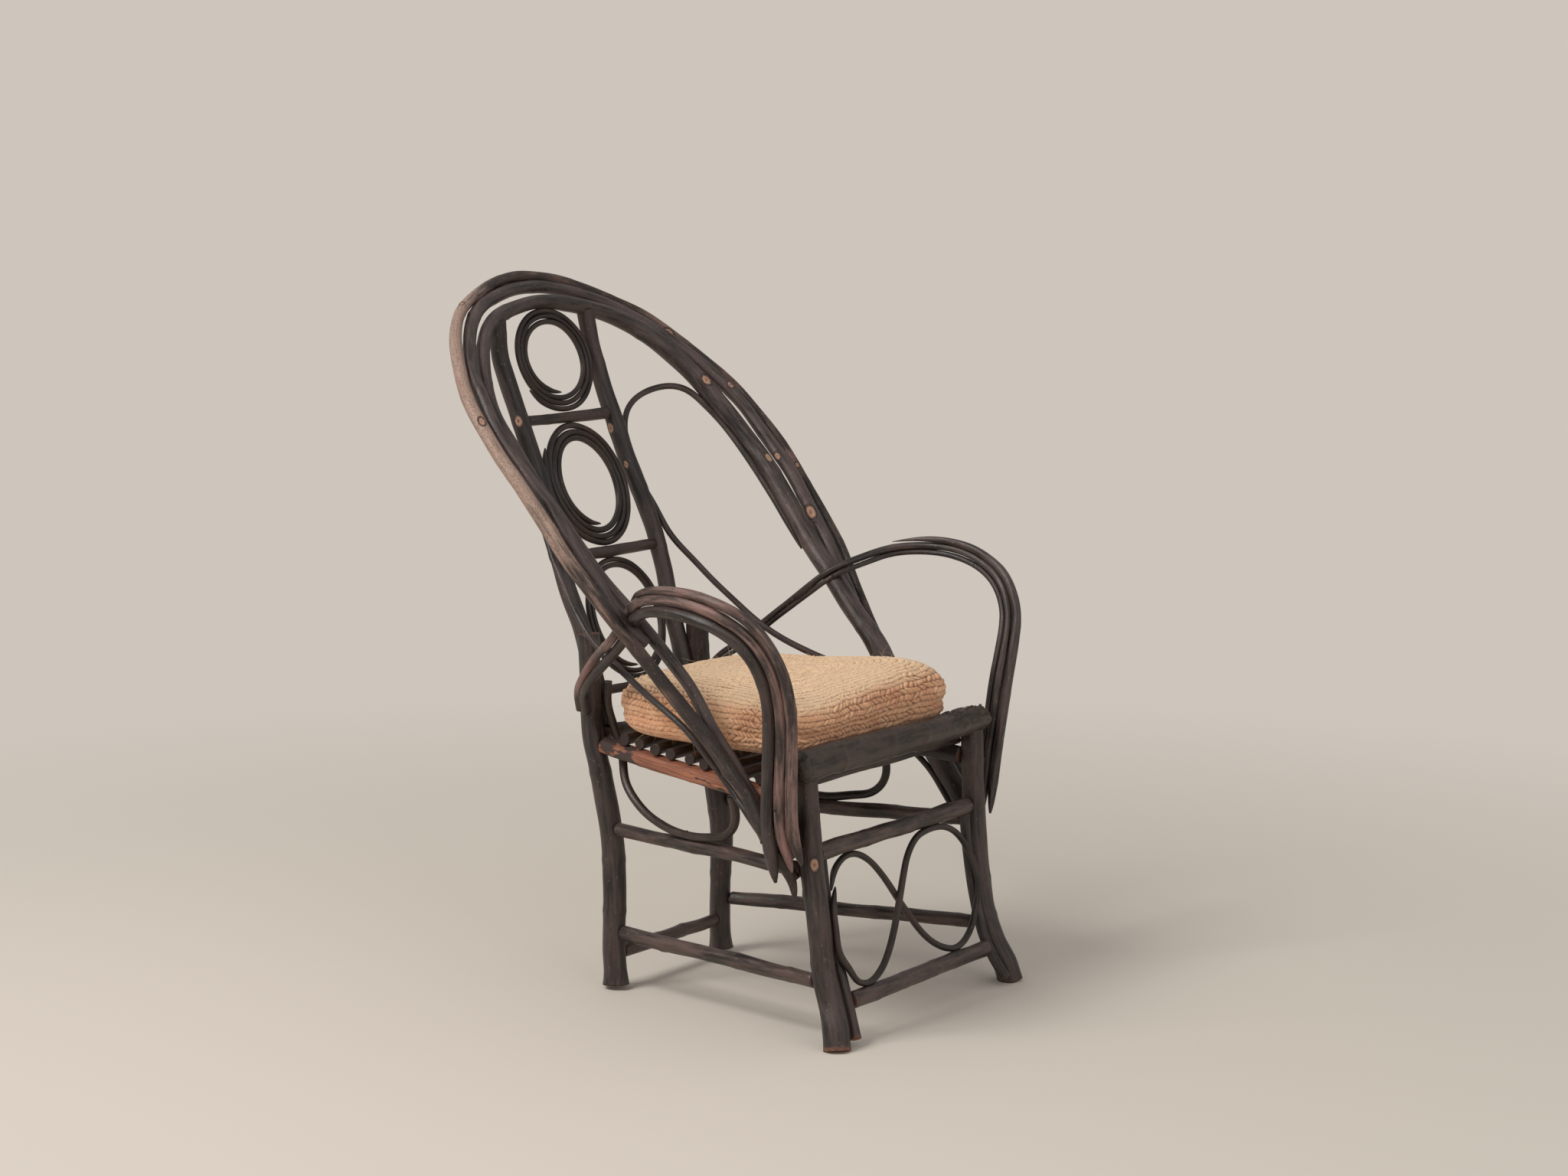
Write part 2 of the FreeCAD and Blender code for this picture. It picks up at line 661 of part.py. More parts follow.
def coil(label, foot, head, foot_radius, head_radius, half_turns):
    """Fit a coil between what lies under and over it, and print its least gap to itself."""
    twig_radius = getattr(sizes, f"{label}_coil_twig_radius")
    step = twig_radius + sizes.turn_gap / 2
    up = (head - foot).normalize()
    room = (head - foot).Length - foot_radius - head_radius - 2 * (sizes.clearance + twig_radius)
    whole = int(half_turns)
    tall = room / 2 - (whole - 1) * step
    centre = foot + up * (foot_radius + sizes.clearance + twig_radius + tall + whole * step)
    sides = [twigs[f"back_stile_{name}"].at_height(centre.z)[0].x for name in SIDES]
    breadth = (max(sides) - min(sides)) / 2 - sizes.stile_radius - sizes.clearance - twig_radius
    wide = breadth * COIL_BREADTH_SHARE[label] - whole * step
    places = spiral(centre, -east, up, wide, tall, step, half_turns)
    gaps = [
        (places[first] - places[second]).Length
        for first in range(len(places))
        for second in range(first + HALF_TURN_STATIONS, len(places))
    ]
    print(label, "coil's least gap to itself", round(min(gaps) - 2 * twig_radius, 3))
    twigs[f"ring_{label}"] = Twig(places, [twig_radius] * len(places))
    keep(f"ring_{label}", skin(twigs[f"ring_{label}"], TWIG_SIDES))


east = Vector(1, 0, 0)
HALF_TURN_STATIONS = 10
COIL_BREADTH_SHARE = {"upper": 0.96, "middle": 0.97, "lower": 0.97}
middles = {label: (bar.points[0] + bar.points[1]) / 2 for label, bar in bars.items()}
overhead = middles["back_bar_upper"] + Vector(0, 0, sizes.crown_height)
top, crown_radius = inner_hoop.nearest(overhead)
middles["crown"] = Vector(overhead.x, top.y, top.z)
for label, under, over, under_radius, over_radius, half_turns in (
    ("upper", "back_bar_upper", "crown", sizes.back_bar_radius, crown_radius, 6.3),
    ("middle", "back_bar_lower", "back_bar_upper", sizes.lower_bar_radius, sizes.back_bar_radius, 6.7),
    ("lower", "rear_cross_rail", "back_bar_lower", sizes.cross_rail_radius, sizes.lower_bar_radius, 4.4),
):
    coil(label, middles[under], middles[over], under_radius, over_radius, half_turns)

# Arms: three twigs nested in one bend, up from the front post, back, and inward through the hoops.
ARM_OUTER_LAST = {"right": 12, "left": 11}
TIP_SHARE = (0.9, 0.72, 0.45)
for name, side in SIDES.items():
    leg = twigs[f"front_leg_{name}"]
    rear = twigs[f"rear_leg_{name}"]
    bend = route(ARM_RIGHT_SHARE if side < 0 else ARM_LEFT_SHARE, side)
    radii = {}
    for part in ("outer", "middle", "inner"):
        thick = getattr(sizes, f"arm_{part}_{name}_radius")
        radii[part] = spread(thick, thick * TAPER_SHARE, bend)
    # the bend lies lower where a third twig runs along the top of it
    guide = Twig(bend, radii["middle"])
    drop = getattr(sizes, f"arm_{name}_drop")
    bend = [
        point - east.cross(guide.tangent(index)).normalize() * drop
        for index, point in enumerate(bend)
    ]
    obstacles = frame_parts + hoops + [twigs["front_rail"], twigs["seat_edge_slat"]]
    last = len(bend) - 1
    middle = lay(bend, radii["middle"], ((0, leg), (last, rear)), obstacles)
    normals = [east.cross(middle.tangent(index)).normalize() for index in range(len(bend))]
    inner_points = [
        point - normal * (r_middle + r_inner + sizes.clearance)
        for point, normal, r_middle, r_inner in zip(middle.points, normals, middle.radii, radii["inner"])
    ]
    inner = lay(
        inner_points,
        radii["inner"],
        ((0, twigs["hoop_outer"]), (8, middle), (last, rear)),
        obstacles + [middle],
    )
    stop = ARM_OUTER_LAST[name]
    outer_points = [
        point + normal * (r_middle + r_outer + sizes.clearance)
        for point, normal, r_middle, r_outer in zip(middle.points, normals, middle.radii, radii["outer"])
    ][: stop + 1]
    # the outer twig runs out to a thin tip that lies along the others
    thinning = [1] * (stop + 1 - len(TIP_SHARE)) + list(TIP_SHARE)
    outer = lay(
        outer_points,
        [radius * share for radius, share in zip(radii["outer"], thinning)],
        ((0, middle), (6, middle), (stop - 2, middle), (stop - 1, middle), (stop, middle)),
        obstacles + [middle, inner],
    )
    for part, twig in (("middle", middle), ("inner", inner), ("outer", outer)):
        twigs[f"arm_{part}_{name}"] = twig
        keep(f"arm_{part}_{name}", skin(twig, HOOP_SIDES))

# Side loops: a thin twig from the front post up beside the cushion to the stile, over the top
# and back down along the inner hoop to the arm.
for name, side in SIDES.items():
    points = route(SIDE_LOOP_SHARE, side)
    radii = [sizes.side_loop_radius] * len(points)
    stile = twigs[f"back_stile_{name}"]
    arms = [twigs[f"arm_{part}_{name}"] for part in ("outer", "middle", "inner")]
    seats = [(0, twigs[f"front_leg_{name}"]), (3, twigs[f"side_rail_{name}"]), (15, stile)]
    seats += [(index, inner_hoop) for index in range(24, len(points))]
    loop = lay(
        points,
        radii,
        seats,
        frame_parts + hoops + arms + [stile, twigs[f"seat_slat_01"]],
    )
    twigs[f"side_loop_{name}"] = loop
    keep(f"side_loop_{name}", skin(loop, TWIG_SIDES))

# Seat braces: a thin twig bent from the rear post down onto the upper side rung and up to the rail.
for name, side in SIDES.items():
    points = route(SEAT_BRACE_SHARE, side)
    rung = twigs[f"side_rung_upper_{name}"]
    low = rung.points[0].z + sizes.side_rung_radius + sizes.seat_brace_radius + sizes.clearance
    for point, (_, _, up) in zip(points, SEAT_BRACE_SHARE):
        point.z = low + (sizes.seat_height - low) * up
    radii = [sizes.seat_brace_radius] * len(points)
    last = len(points) - 1
    arms = [twigs[f"arm_{part}_{name}"] for part in ("middle", "inner")]
    brace = lay(
        points,
        radii,
        (
            (1, twigs[f"rear_leg_{name}"]),
            (7, rung),
            (last, twigs[f"side_rail_{name}"]),
        ),
        frame_parts + arms + hoops + [twigs[f"side_loop_{name}"]],
    )
    twigs[f"seat_brace_{name}"] = brace
    keep(f"seat_brace_{name}", skin(brace, TWIG_SIDES))

# Front scroll: one thin twig bent into a figure of eight between the two front rungs.
SCROLL_SHARE = (
    (-0.93, 0.8), (-1, 0.65), (-1.03, 0.48), (-1.02, 0.3), (-0.95, 0.15), (-0.84, 0.04), (-0.7, 0),
    (-0.55, 0.05), (-0.41, 0.16), (-0.28, 0.31), (-0.16, 0.49), (-0.04, 0.69), (0.08, 0.85),
    (0.23, 0.96), (0.42, 1), (0.6, 0.99), (0.76, 0.92), (0.89, 0.78), (0.95, 0.6), (0.95, 0.42),
    (0.9, 0.26), (0.8, 0.12), (0.66, 0.03), (0.51, 0), (0.37, 0.04), (0.23, 0.13), (0.1, 0.26),
    (-0.02, 0.43), (-0.13, 0.6), (-0.25, 0.77), (-0.37, 0.9), (-0.52, 0.98), (-0.68, 0.99),
    (-0.83, 0.91), (-0.94, 0.77),
)
top_rung = (twigs["front_rung_upper"].points[0] + twigs["front_rung_upper"].points[1]) / 2
low_rung = (twigs["front_rung_lower"].points[0] + twigs["front_rung_lower"].points[1]) / 2
rise = top_rung - low_rung
seat_off = sizes.front_rung_radius + sizes.scroll_radius + sizes.clearance
low = low_rung + rise.normalize() * seat_off
high = top_rung - rise.normalize() * seat_off
ahead = rise.cross(east).normalize() * -1
points = []
strand = sizes.scroll_radius + sizes.clearance
for index, (across, up) in enumerate(SCROLL_SHARE):
    # the two strands pass one before the other where they cross, and at the lapped ends
    turn = math.cos(math.pi * index / (len(SCROLL_SHARE) - 1))
    place = low + (high - low) * up + east * (across * sizes.scroll_half_width)
    points.append(place + ahead * (turn * strand))
corner_sticks = [twigs[f"{part}_{name}"] for part in ("leg_stick", "front_leg") for name in SIDES]
scroll = lay(points, [sizes.scroll_radius] * len(points), against=corner_sticks)
twigs["front_scroll"] = scroll
keep("front_scroll", skin(scroll, TWIG_SIDES))


# Cushion: a loose pad with a crowned top and drawn-in sides, wider at the front.
def outline(inset, height):
    """Draw the cushion's outline at one level, drawn in evenly from the widest one."""
    half_depth = sizes.cushion_half_depth
    front = cushion_half_width * CUSHION_FRONT_SHARE
    rear = cushion_half_width * CUSHION_REAR_SHARE
    corners = [
        Vector(-front, -half_depth, 0),
        Vector(front, -half_depth, 0),
        Vector(rear, half_depth, 0),
        Vector(-rear, half_depth, 0),
    ]
    rim = []
    for index, corner in enumerate(corners):
        rounding = sizes.cushion_front_corner_radius if index < 2 else sizes.cushion_rear_corner_radius
        before = (corners[index - 1] - corner).normalize()
        after = (corners[(index + 1) % 4] - corner).normalize()
        angle = before.getAngle(after)
        bisector = (before + after).normalize()
        hub = corner + bisector * (rounding / math.sin(angle / 2))
        first = math.atan2(-after.x, after.y)
        sweep = math.pi - angle
        for part in range(CORNER_STATIONS + 1):
            turn = first + sweep * (part / CORNER_STATIONS - 1)
            reach = rounding - inset
            rim.append(hub + Vector(math.cos(turn) * reach, math.sin(turn) * reach, 0))
    return [Vector(place.x, place.y + cushion_depth, height) for place in rim]


CORNER_STATIONS = 8
CUSHION_FRONT_SHARE = 1.09
CUSHION_REAR_SHARE = 0.9
CUSHION_LEVEL_SHARE = (
    (0, 1.1), (0.05, 0.55), (0.15, 0.17), (0.3, 0), (0.44, 0.06), (0.58, 0), (0.72, 0.11),
    (0.84, 0.35), (0.92, 0.8), (0.97, 1.5), (1, 2.4),
)
cushion_depth = rail_depth + sizes.cushion_setback
rearmost = twigs["seat_slat_10"].points[0]
floor_height = rearmost.z + sizes.slat_radius + sizes.clearance
# the cushion keeps its room from the hoop that passes it nearest
beside, hoop_radius = inner_hoop.at_height(floor_height + sizes.cushion_thickness / 2)
ahead_share = (1 - (beside.y - cushion_depth) / sizes.cushion_half_depth) / 2
widening = CUSHION_REAR_SHARE + (CUSHION_FRONT_SHARE - CUSHION_REAR_SHARE) * ahead_share
cushion_half_width = (abs(beside.x) - hoop_radius - sizes.cushion_side_room) / widening
levels = [
    outline(inset * sizes.cushion_edge_radius, floor_height + up * sizes.cushion_thickness)
    for up, inset in CUSHION_LEVEL_SHARE
]
facets = [levels[0], levels[-1]]
for below, above in zip(levels, levels[1:]):
    for index in range(len(below)):
        facets.append([below[index - 1], below[index], above[index], above[index - 1]])
faces = [Part.Face(Part.makePolygon(facet + facet[:1])) for facet in facets]
keep("cushion", Part.makeSolid(Part.makeShell(faces)))

# Every object has to be sound before any file is written.
doc.recompute()
for item in doc.Objects:
    if "Invalid" in item.State or "Error" in item.State:
        raise RuntimeError(f"{item.Label} failed: {item.State}")
for node in nodes:
    if node.Shape.isNull() or not node.Shape.isValid():
        raise RuntimeError(f"{node.Label} has no valid shape")
    if len(node.Shape.Solids) != 1:
        raise RuntimeError(f"{node.Label} holds {len(node.Shape.Solids)} solids")

os.makedirs("parts", exist_ok=True)
for node in nodes:
    node.Shape.exportStep(f"parts/{node.Label}.step")
print("pieces", len(nodes))
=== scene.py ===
import math

import bpy
import numpy as np
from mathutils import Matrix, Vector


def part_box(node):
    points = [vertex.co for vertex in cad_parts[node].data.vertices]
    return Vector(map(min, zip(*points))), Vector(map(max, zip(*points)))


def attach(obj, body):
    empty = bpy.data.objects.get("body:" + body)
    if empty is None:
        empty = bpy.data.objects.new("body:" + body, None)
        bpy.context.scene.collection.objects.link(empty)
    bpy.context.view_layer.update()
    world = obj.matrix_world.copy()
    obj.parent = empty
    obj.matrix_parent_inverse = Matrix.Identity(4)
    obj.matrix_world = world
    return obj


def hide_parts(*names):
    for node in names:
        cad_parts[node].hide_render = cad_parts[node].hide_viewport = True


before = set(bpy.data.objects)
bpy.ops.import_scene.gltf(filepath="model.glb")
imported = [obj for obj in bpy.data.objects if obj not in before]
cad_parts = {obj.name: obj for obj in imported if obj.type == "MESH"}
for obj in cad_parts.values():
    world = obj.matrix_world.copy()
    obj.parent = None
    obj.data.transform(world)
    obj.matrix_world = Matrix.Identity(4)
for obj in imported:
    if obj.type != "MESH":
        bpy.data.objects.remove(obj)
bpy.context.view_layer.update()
scene = bpy.context.scene

# Camera: at a standing viewer's eye height, off the chair's right front corner, looking a little
# down through a long lens, so that the back is seen past the arms.
CAMERA_PLACE = (-4.1184, -2.9172, 1.3025)
CAMERA_TURN = math.radians(55.822)
CAMERA_TILT = math.radians(7.625)
FOCAL_LENGTH_MM = 74.6
SENSOR_WIDTH_MM = 36.0
lens = bpy.data.cameras.new("camera")
lens.lens = FOCAL_LENGTH_MM
lens.sensor_width = SENSOR_WIDTH_MM
lens.sensor_fit = "HORIZONTAL"
camera = bpy.data.objects.new("camera", lens)
camera.location = CAMERA_PLACE
camera.rotation_euler = (math.pi / 2 - CAMERA_TILT, 0, -CAMERA_TURN)
scene.collection.objects.link(camera)
scene.camera = camera

# Posts: four saplings with their dark bark left on, sawn flat where they stand, and a thinner
# stick beside each front one. Every twig of the chair is made by the same steps: its centre
# line is read off its CAD solid, smoothed, and clothed in bark.


def pull(items, field, width, kind=float):
    """Read one field of a mesh's corners, edges or triangles into the rows of an array."""
    values = np.empty(len(items) * width, kind)
    items.foreach_get(field, values)
    return values.reshape(-1, width)


def unit(vectors):
    """Make each vector one long."""
    return vectors / np.maximum(np.linalg.norm(vectors, axis=-1, keepdims=True), 1e-12)


def lengths_along(points):
    """How far along a line each of its points lies."""
    return np.append(0, np.cumsum(np.linalg.norm(np.diff(points, axis=0), axis=1)))


# The sawn end of a solid: triangles that face the same way and lie in one plane, more than
# LEAST_CAP of them, in a rim whose reach varies by less than the share OUT_OF_ROUND.
SAME_WAY = 0.9995
SAME_PLANE = 4e-5
LEAST_CAP = 5
OUT_OF_ROUND = 0.03


def stations(node):
    """Read a twig's centre line off its CAD solid.

    The solid is a loft of rings of corners. The corners of its round end face are the first
    ring, and the corners one edge away from a ring, not met before, are the next. A ring's mean
    is a centre, and the mean distance of its corners from the line there is a radius.
    """
    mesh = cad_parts[node].data
    places, same = np.unique(pull(mesh.vertices, "co", 3).round(6), axis=0, return_inverse=True)
    mesh.calc_loop_triangles()
    faces = same.reshape(-1)[pull(mesh.loop_triangles, "vertices", 3, int)]
    a, b, c = places[faces].transpose(1, 0, 2)
    normal = unit(np.cross(b - a, c - a))
    level = np.abs(normal @ normal.T) > SAME_WAY
    off = np.abs((normal * a).sum(1)[:, None] - normal @ a.T)
    cap, most = None, LEAST_CAP
    for flat in np.unique(level & (off < SAME_PLANE), axis=0):
        rim = places[np.unique(faces[flat])]
        reach = np.linalg.norm(rim - rim.mean(0), axis=1)
        round_enough = np.ptp(reach) < OUT_OF_ROUND * reach.mean()
        if flat.sum() > most and len(rim) == flat.sum() + 2 and round_enough:
            cap, most = flat, flat.sum()
    pairs = np.vstack([faces[:, [0, 1]], faces[:, [1, 2]], faces[:, [2, 0]]])
    pairs = np.vstack([pairs, pairs[:, ::-1]])
    ring = np.unique(faces[cap])
    met = np.zeros(len(places), bool)
    rings = []
    while len(ring):
        rings.append(places[ring])
        met[ring] = True
        ring = np.unique(pairs[np.isin(pairs[:, 0], ring), 1])
        ring = ring[~met[ring]]
    centres = np.array([ring.mean(0) for ring in rings])
    ways = unit(np.gradient(centres, axis=0))
    radii = [
        np.linalg.norm(np.cross(ring - centre, way), axis=1).mean()
        for ring, centre, way in zip(rings, centres, ways)
    ]
    return centres, np.array(radii)


# The uprights with a notched top and the notch's depth, and where their sections are read: from
# just above the foot, one every LEVEL_SPACING.
NOTCH_DEPTH = {"front_leg": 0.034, "back_stile": 0.026}
ABOVE_FOOT = 0.0005
LEVEL_SPACING = 0.03


def slices(node, notch):
    """Read a notched upright's centre line by level.

    The solid's edges cross each height. The middle of their reach across and back is a centre,
    and half of the lesser reach a radius. The line runs straight on through the notched top.
    """
    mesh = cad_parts[node].data
    corners = pull(mesh.vertices, "co", 3)
    a, b = corners[pull(mesh.edges, "vertices", 2, int)].transpose(1, 0, 2)
    foot, top = corners[:, 2].min(), corners[:, 2].max()
    centres, radii = [], []
    for height in np.linspace(foot + ABOVE_FOOT, top - notch, int((top - foot) / LEVEL_SPACING)):
        crossed = (a[:, 2] - height) * (b[:, 2] - height) < 0
        share = ((height - a[:, 2]) / (b[:, 2] - a[:, 2] + 1e-12))[crossed][:, None]
        rim = a[crossed] + (b - a)[crossed] * share
        centres.append((rim.min(0) + rim.max(0)) / 2)
        radii.append(np.ptp(rim[:, :2], axis=0).min() / 2)
    centres[0][2] = foot
    way = centres[-1] - centres[-2]
    centres.append(centres[-1] + way * (top - centres[-1][2]) / way[2])
    return np.array(centres), np.array(radii + radii[-1:])


def smooth_line(points, step, ease):
    """Carry a smooth curve through the stations, with a place at every step of its length.

    Each stretch is a cubic Hermite piece whose slopes are the stations' central differences,
    and the whole is then averaged over a window of ease, its ends held.
    """
    reach = lengths_along(points)
    slope = np.gradient(points, reach, axis=0, edge_order=1)
    at = np.linspace(0, reach[-1], max(int(reach[-1] / step), 8) + 1)
    index = np.clip(np.searchsorted(reach, at, side="right") - 1, 0, len(reach) - 2)
    span = (reach[index + 1] - reach[index])[:, None]
    t = (at - reach[index])[:, None] / span
    line = (
        (2 * t**3 - 3 * t**2 + 1) * points[index]
        + (t**3 - 2 * t**2 + t) * span * slope[index]
        + (3 * t**2 - 2 * t**3) * points[index + 1]
        + (t**3 - t**2) * span * slope[index + 1]
    )
    half = min(int(ease / step), (len(line) - 1) // 2)
    if half > 0:
        window = np.hanning(2 * half + 3)[1:-1]
        window /= window.sum()
        before = 2 * line[0] - line[half:0:-1]
        after = 2 * line[-1] - line[-2 : -2 - half : -1]
        padded = np.vstack([before, line, after])
        line = np.column_stack([np.convolve(padded[:, axis], window, "valid") for axis in range(3)])
    return line, at


WAVE_COUNT = 7
WAVE_SWING = 1.6


def wave(at, rng, longest, shortest):
    """Sum a few sines of random length and phase into one gentle wander of about -1 to 1."""
    lengths = np.exp(rng.uniform(np.log(shortest), np.log(longest), WAVE_COUNT))
    phases = rng.uniform(0, 2 * np.pi, WAVE_COUNT)
    weights = lengths / lengths.sum()
    return (weights * np.sin(2 * np.pi * at[..., None] / lengths + phases)).sum(-1) * WAVE_SWING


def put_mesh(name, places, faces, skins=()):
    """Make a smooth-shaded mesh object from arrays of places and faces, with named attributes."""
    mesh = bpy.data.meshes.new(name)
    mesh.from_pydata(places.reshape(-1, 3).tolist(), [], faces)
    for label, values in dict(skins).items():
        kind = "FLOAT_VECTOR" if values.ndim == 2 else "FLOAT"
        field = "vector" if values.ndim == 2 else "value"
        mesh.attributes.new(label, kind, "POINT").data.foreach_set(field, values.ravel())
    mesh.polygons.foreach_set("use_smooth", np.ones(len(mesh.polygons), bool))
    mesh.update()
    piece = bpy.data.objects.new(name, mesh)
    scene.collection.objects.link(piece)
    return piece


def tube_faces(rings, around, mirrored=False):
    """Join rings of corners into quads, and close both ends with a fan about a pole.

    Rings that run from the top down make a mirrored tube, whose faces turn the other way.
    """
    corner = np.arange(rings * around).reshape(rings, around)
    ahead = np.roll(corner, -1, axis=1)
    quads = np.stack([corner[:-1], ahead[:-1], ahead[1:], corner[1:]], -1).reshape(-1, 4)
    foot, head = rings * around, rings * around + 1
    first = np.column_stack([np.full(around, foot), ahead[0], corner[0]])
    last = np.column_stack([np.full(around, head), corner[-1], ahead[-1]])
    faces = quads.tolist() + first.tolist() + last.tolist()
    return [face[:1] + face[:0:-1] for face in faces] if mirrored else faces


def with_poles(grid):
    """A tube's places in one row, and after them the middles of its first and last rings."""
    return np.vstack([grid.reshape(-1, 3), grid[0].mean(0), grid[-1].mean(0)])


# Bark's own sizes, in metres along a twig or in shares of its radius. A ridge is a number of
# lobes round the twig and their height. A knot's lip, dip and skirt are shares of its width.
TIP_LEAST, TIP_POWER = 0.03, 0.45
STEADY_END = 0.05
WANDER = 0.0009
SWELLING = 0.035
RIDGES = ((2, 0.04), (3, 0.02), (5, 0.012))
SCAR_HEIGHT, SCAR_LENGTH, SCAR_END = 0.035, 0.007, 0.02
BUD_SHARE, BUD_HEALED = 0.5, 0.95
KNOT_LONG, KNOT_WIDE = 1.35, 0.8
LIP_WIDE, DIP_WIDE, SKIRT_WIDE = 0.35, 0.55, 2.2
LIP_HEIGHT, DIP_DEPTH, SKIRT_HEIGHT = 0.13, 0.7, 0.1
NO_KNOT = 4.0
FLARE, FLARE_HEIGHT, CHOPPED_HEIGHT = 0.09, 0.016, 0.006
END_SHARES = np.array([0.35, 0.75, 0.93])
END_SLACK = np.array([0.0006, 0.0003, 0.0])
SAW_MARKS = 0.00025


def twig_shape(points, radii, seed, knots, around, step, rough, ease, every, foot, broken, tips):
    """Work out a twig's bark as a grid of rings along its line.

    Radius = station radius x (1 + slow wander along + ridges that turn slowly around)
    + a low swelling at each leaf scar + a raised lip round each knot with a dip inside it.
    The frame about the line is the normal of the plane that fits the line best, made square to
    the way at each place, so that it never spins.
    """
    rng = np.random.default_rng(seed)
    line, at = smooth_line(points, step, ease)
    radius = np.interp(at, lengths_along(points), radii)
    for length, left in zip(tips, (at, at[-1] - at)):
        if length:
            radius = radius * np.clip(left / length, TIP_LEAST, 1) ** TIP_POWER
    inner = np.clip(np.minimum(at, at[-1] - at) / STEADY_END, 0, 1)[:, None]
    sway = np.stack([wave(at, rng, 0.35, 0.07) for _ in range(3)], -1)
    line = line + sway * WANDER * rough * inner
    way = unit(np.gradient(line, at, axis=0))
    _, _, axes = np.linalg.svd(line - line.mean(0), full_matrices=False)
    square = axes[1] if np.abs(way @ axes[-1]).max() > 0.9 else axes[-1]
    across = unit(square - way * (way @ square)[:, None])
    up = np.cross(way, across)
    angle = np.linspace(0, 2 * np.pi, around, endpoint=False)
    shape = 1 + SWELLING * rough * wave(at, rng, 0.4, 0.05)[:, None]
    for lobes, size in RIDGES:
        turn = rng.uniform(0, 6.28) + 2.5 * wave(at, rng, 1.5, 0.3)
        shape = shape + size * rough * np.sin(lobes * angle + turn[:, None])
    # leaf scars: slight collars, about half of them with a small healed bud on one side
    scars = np.cumsum(rng.uniform(0.6, 1.4, 200) * every)
    scars = scars[scars < at[-1] - SCAR_END]
    for scar in scars:
        shape = shape + SCAR_HEIGHT * rough * np.exp(-(((at - scar) / SCAR_LENGTH) ** 2))[:, None]
    spots = [(scar, rng.uniform(0, 6.28), rng.uniform(0.25, 0.45), BUD_HEALED) for scar in scars]
    spots = [spot for spot in spots if rng.random() < BUD_SHARE]
    for place, size in knots:
        index = int(np.argmin(np.linalg.norm(line - np.array(place), axis=1)))
        out = np.array(place) - line[index]
        spots.append((at[index], math.atan2(out @ up[index], out @ across[index]), size, 0.0))
    knot = np.full((len(at), around), NO_KNOT)
    relief = np.zeros((len(at), around))
    for where, turn, size, healed in spots:
        width = size * np.interp(where, at, radius)
        along = (at[:, None] - where) / (KNOT_LONG * width)
        bend = np.angle(np.exp(1j * (angle - turn))) * radius[:, None] / (KNOT_WIDE * width)
        away = np.sqrt(along**2 + bend**2)
        lip = np.exp(-(((away - 1.0) / LIP_WIDE) ** 2))
        dip = DIP_DEPTH * np.exp(-((away / DIP_WIDE) ** 2))
        skirt = SKIRT_HEIGHT * width * np.exp(-((away / SKIRT_WIDE) ** 2))
        relief += LIP_HEIGHT * width * (lip - dip) + skirt
        knot = np.minimum(knot, away + healed)
    if broken:
        # split bark, mostly towards the left end: plates stand up where crossed waves are high
        far = at[:, None]
        plate = np.sin(far * 95 + 2.2 * np.sin(3 * angle + 1)) * np.sin(5 * angle + far * 31)
        chips = 0.8 * np.sin(far * 230 + 9 * np.sin(angle)) * np.sin(11 * angle - far * 60)
        facing = np.clip(across[:, 2:] * np.cos(angle) + up[:, 2:] * np.sin(angle) + 0.25, 0, 1)
        facing = facing * np.clip((line[:, :1] - 0.08) / 0.1, 0.12, 1)
        relief += broken * facing * (np.tanh(3 * (plate + chips)) - 0.3)
    if foot:
        # the foot spreads a little to a ragged rim where it was chopped
        torn = 1 + 0.25 * np.sin(3 * angle + rng.uniform(0, 6))
        torn = torn + 0.2 * np.sin(8 * angle + rng.uniform(0, 6))
        shape = shape + FLARE * torn * np.exp(-at / FLARE_HEIGHT)[:, None]
    thick = radius[:, None] * shape + relief
    # the sawn ends: a tiny bevel, then the flat cut drawn in to its middle
    thick = np.vstack([END_SHARES[:, None] * thick[:1], thick, END_SHARES[::-1, None] * thick[-1:]])
    rows = np.concatenate([[0, 0, 0], np.arange(len(at)), [len(at) - 1] * 3])
    cut = np.ones(len(rows))
    cut[3:-3] = foot * np.clip(1.2 - at / CHOPPED_HEIGHT, 0, 1)
    knot = knot[rows]
    knot[:3] = knot[-3:] = NO_KNOT
    slack = np.zeros((len(rows), 1))
    slack[:3, 0] = END_SLACK
    slack[-3:, 0] = -END_SLACK[::-1]
    saw = rng.normal(0, SAW_MARKS, (len(rows), around)) * cut[:, None]
    ray = np.cos(angle)[:, None] * across[rows][:, None] + np.sin(angle)[:, None] * up[rows][:, None]
    grid = line[rows][:, None] + ray * thick[..., None]
    grid = grid + way[rows][:, None] * (slack + saw)[..., None]
    run = np.broadcast_to(at[rows][:, None], thick.shape)
    bark = np.stack([thick * np.cos(angle), thick * np.sin(angle), run], -1)
    bark[..., 2] += rng.uniform(0, 9)
    if foot:
        grid[..., 2] = np.maximum(grid[..., 2], 0.0)
    skins = {
        "bark": np.vstack([bark.reshape(-1, 3), [[0, 0, bark[0, 0, 2]], [0, 0, bark[-1, 0, 2]]]]),
        "knot": np.append(knot.ravel(), [NO_KNOT, NO_KNOT]),
        "cut": np.append(np.repeat(cut, around), [1.0, 1.0]),
    }
    return with_poles(grid), tube_faces(len(rows), around), skins


# A hanging twig's low end is drawn back by this share towards the end of its solid.
DRAWN_BACK_SHARE = 0.55
bent = {}


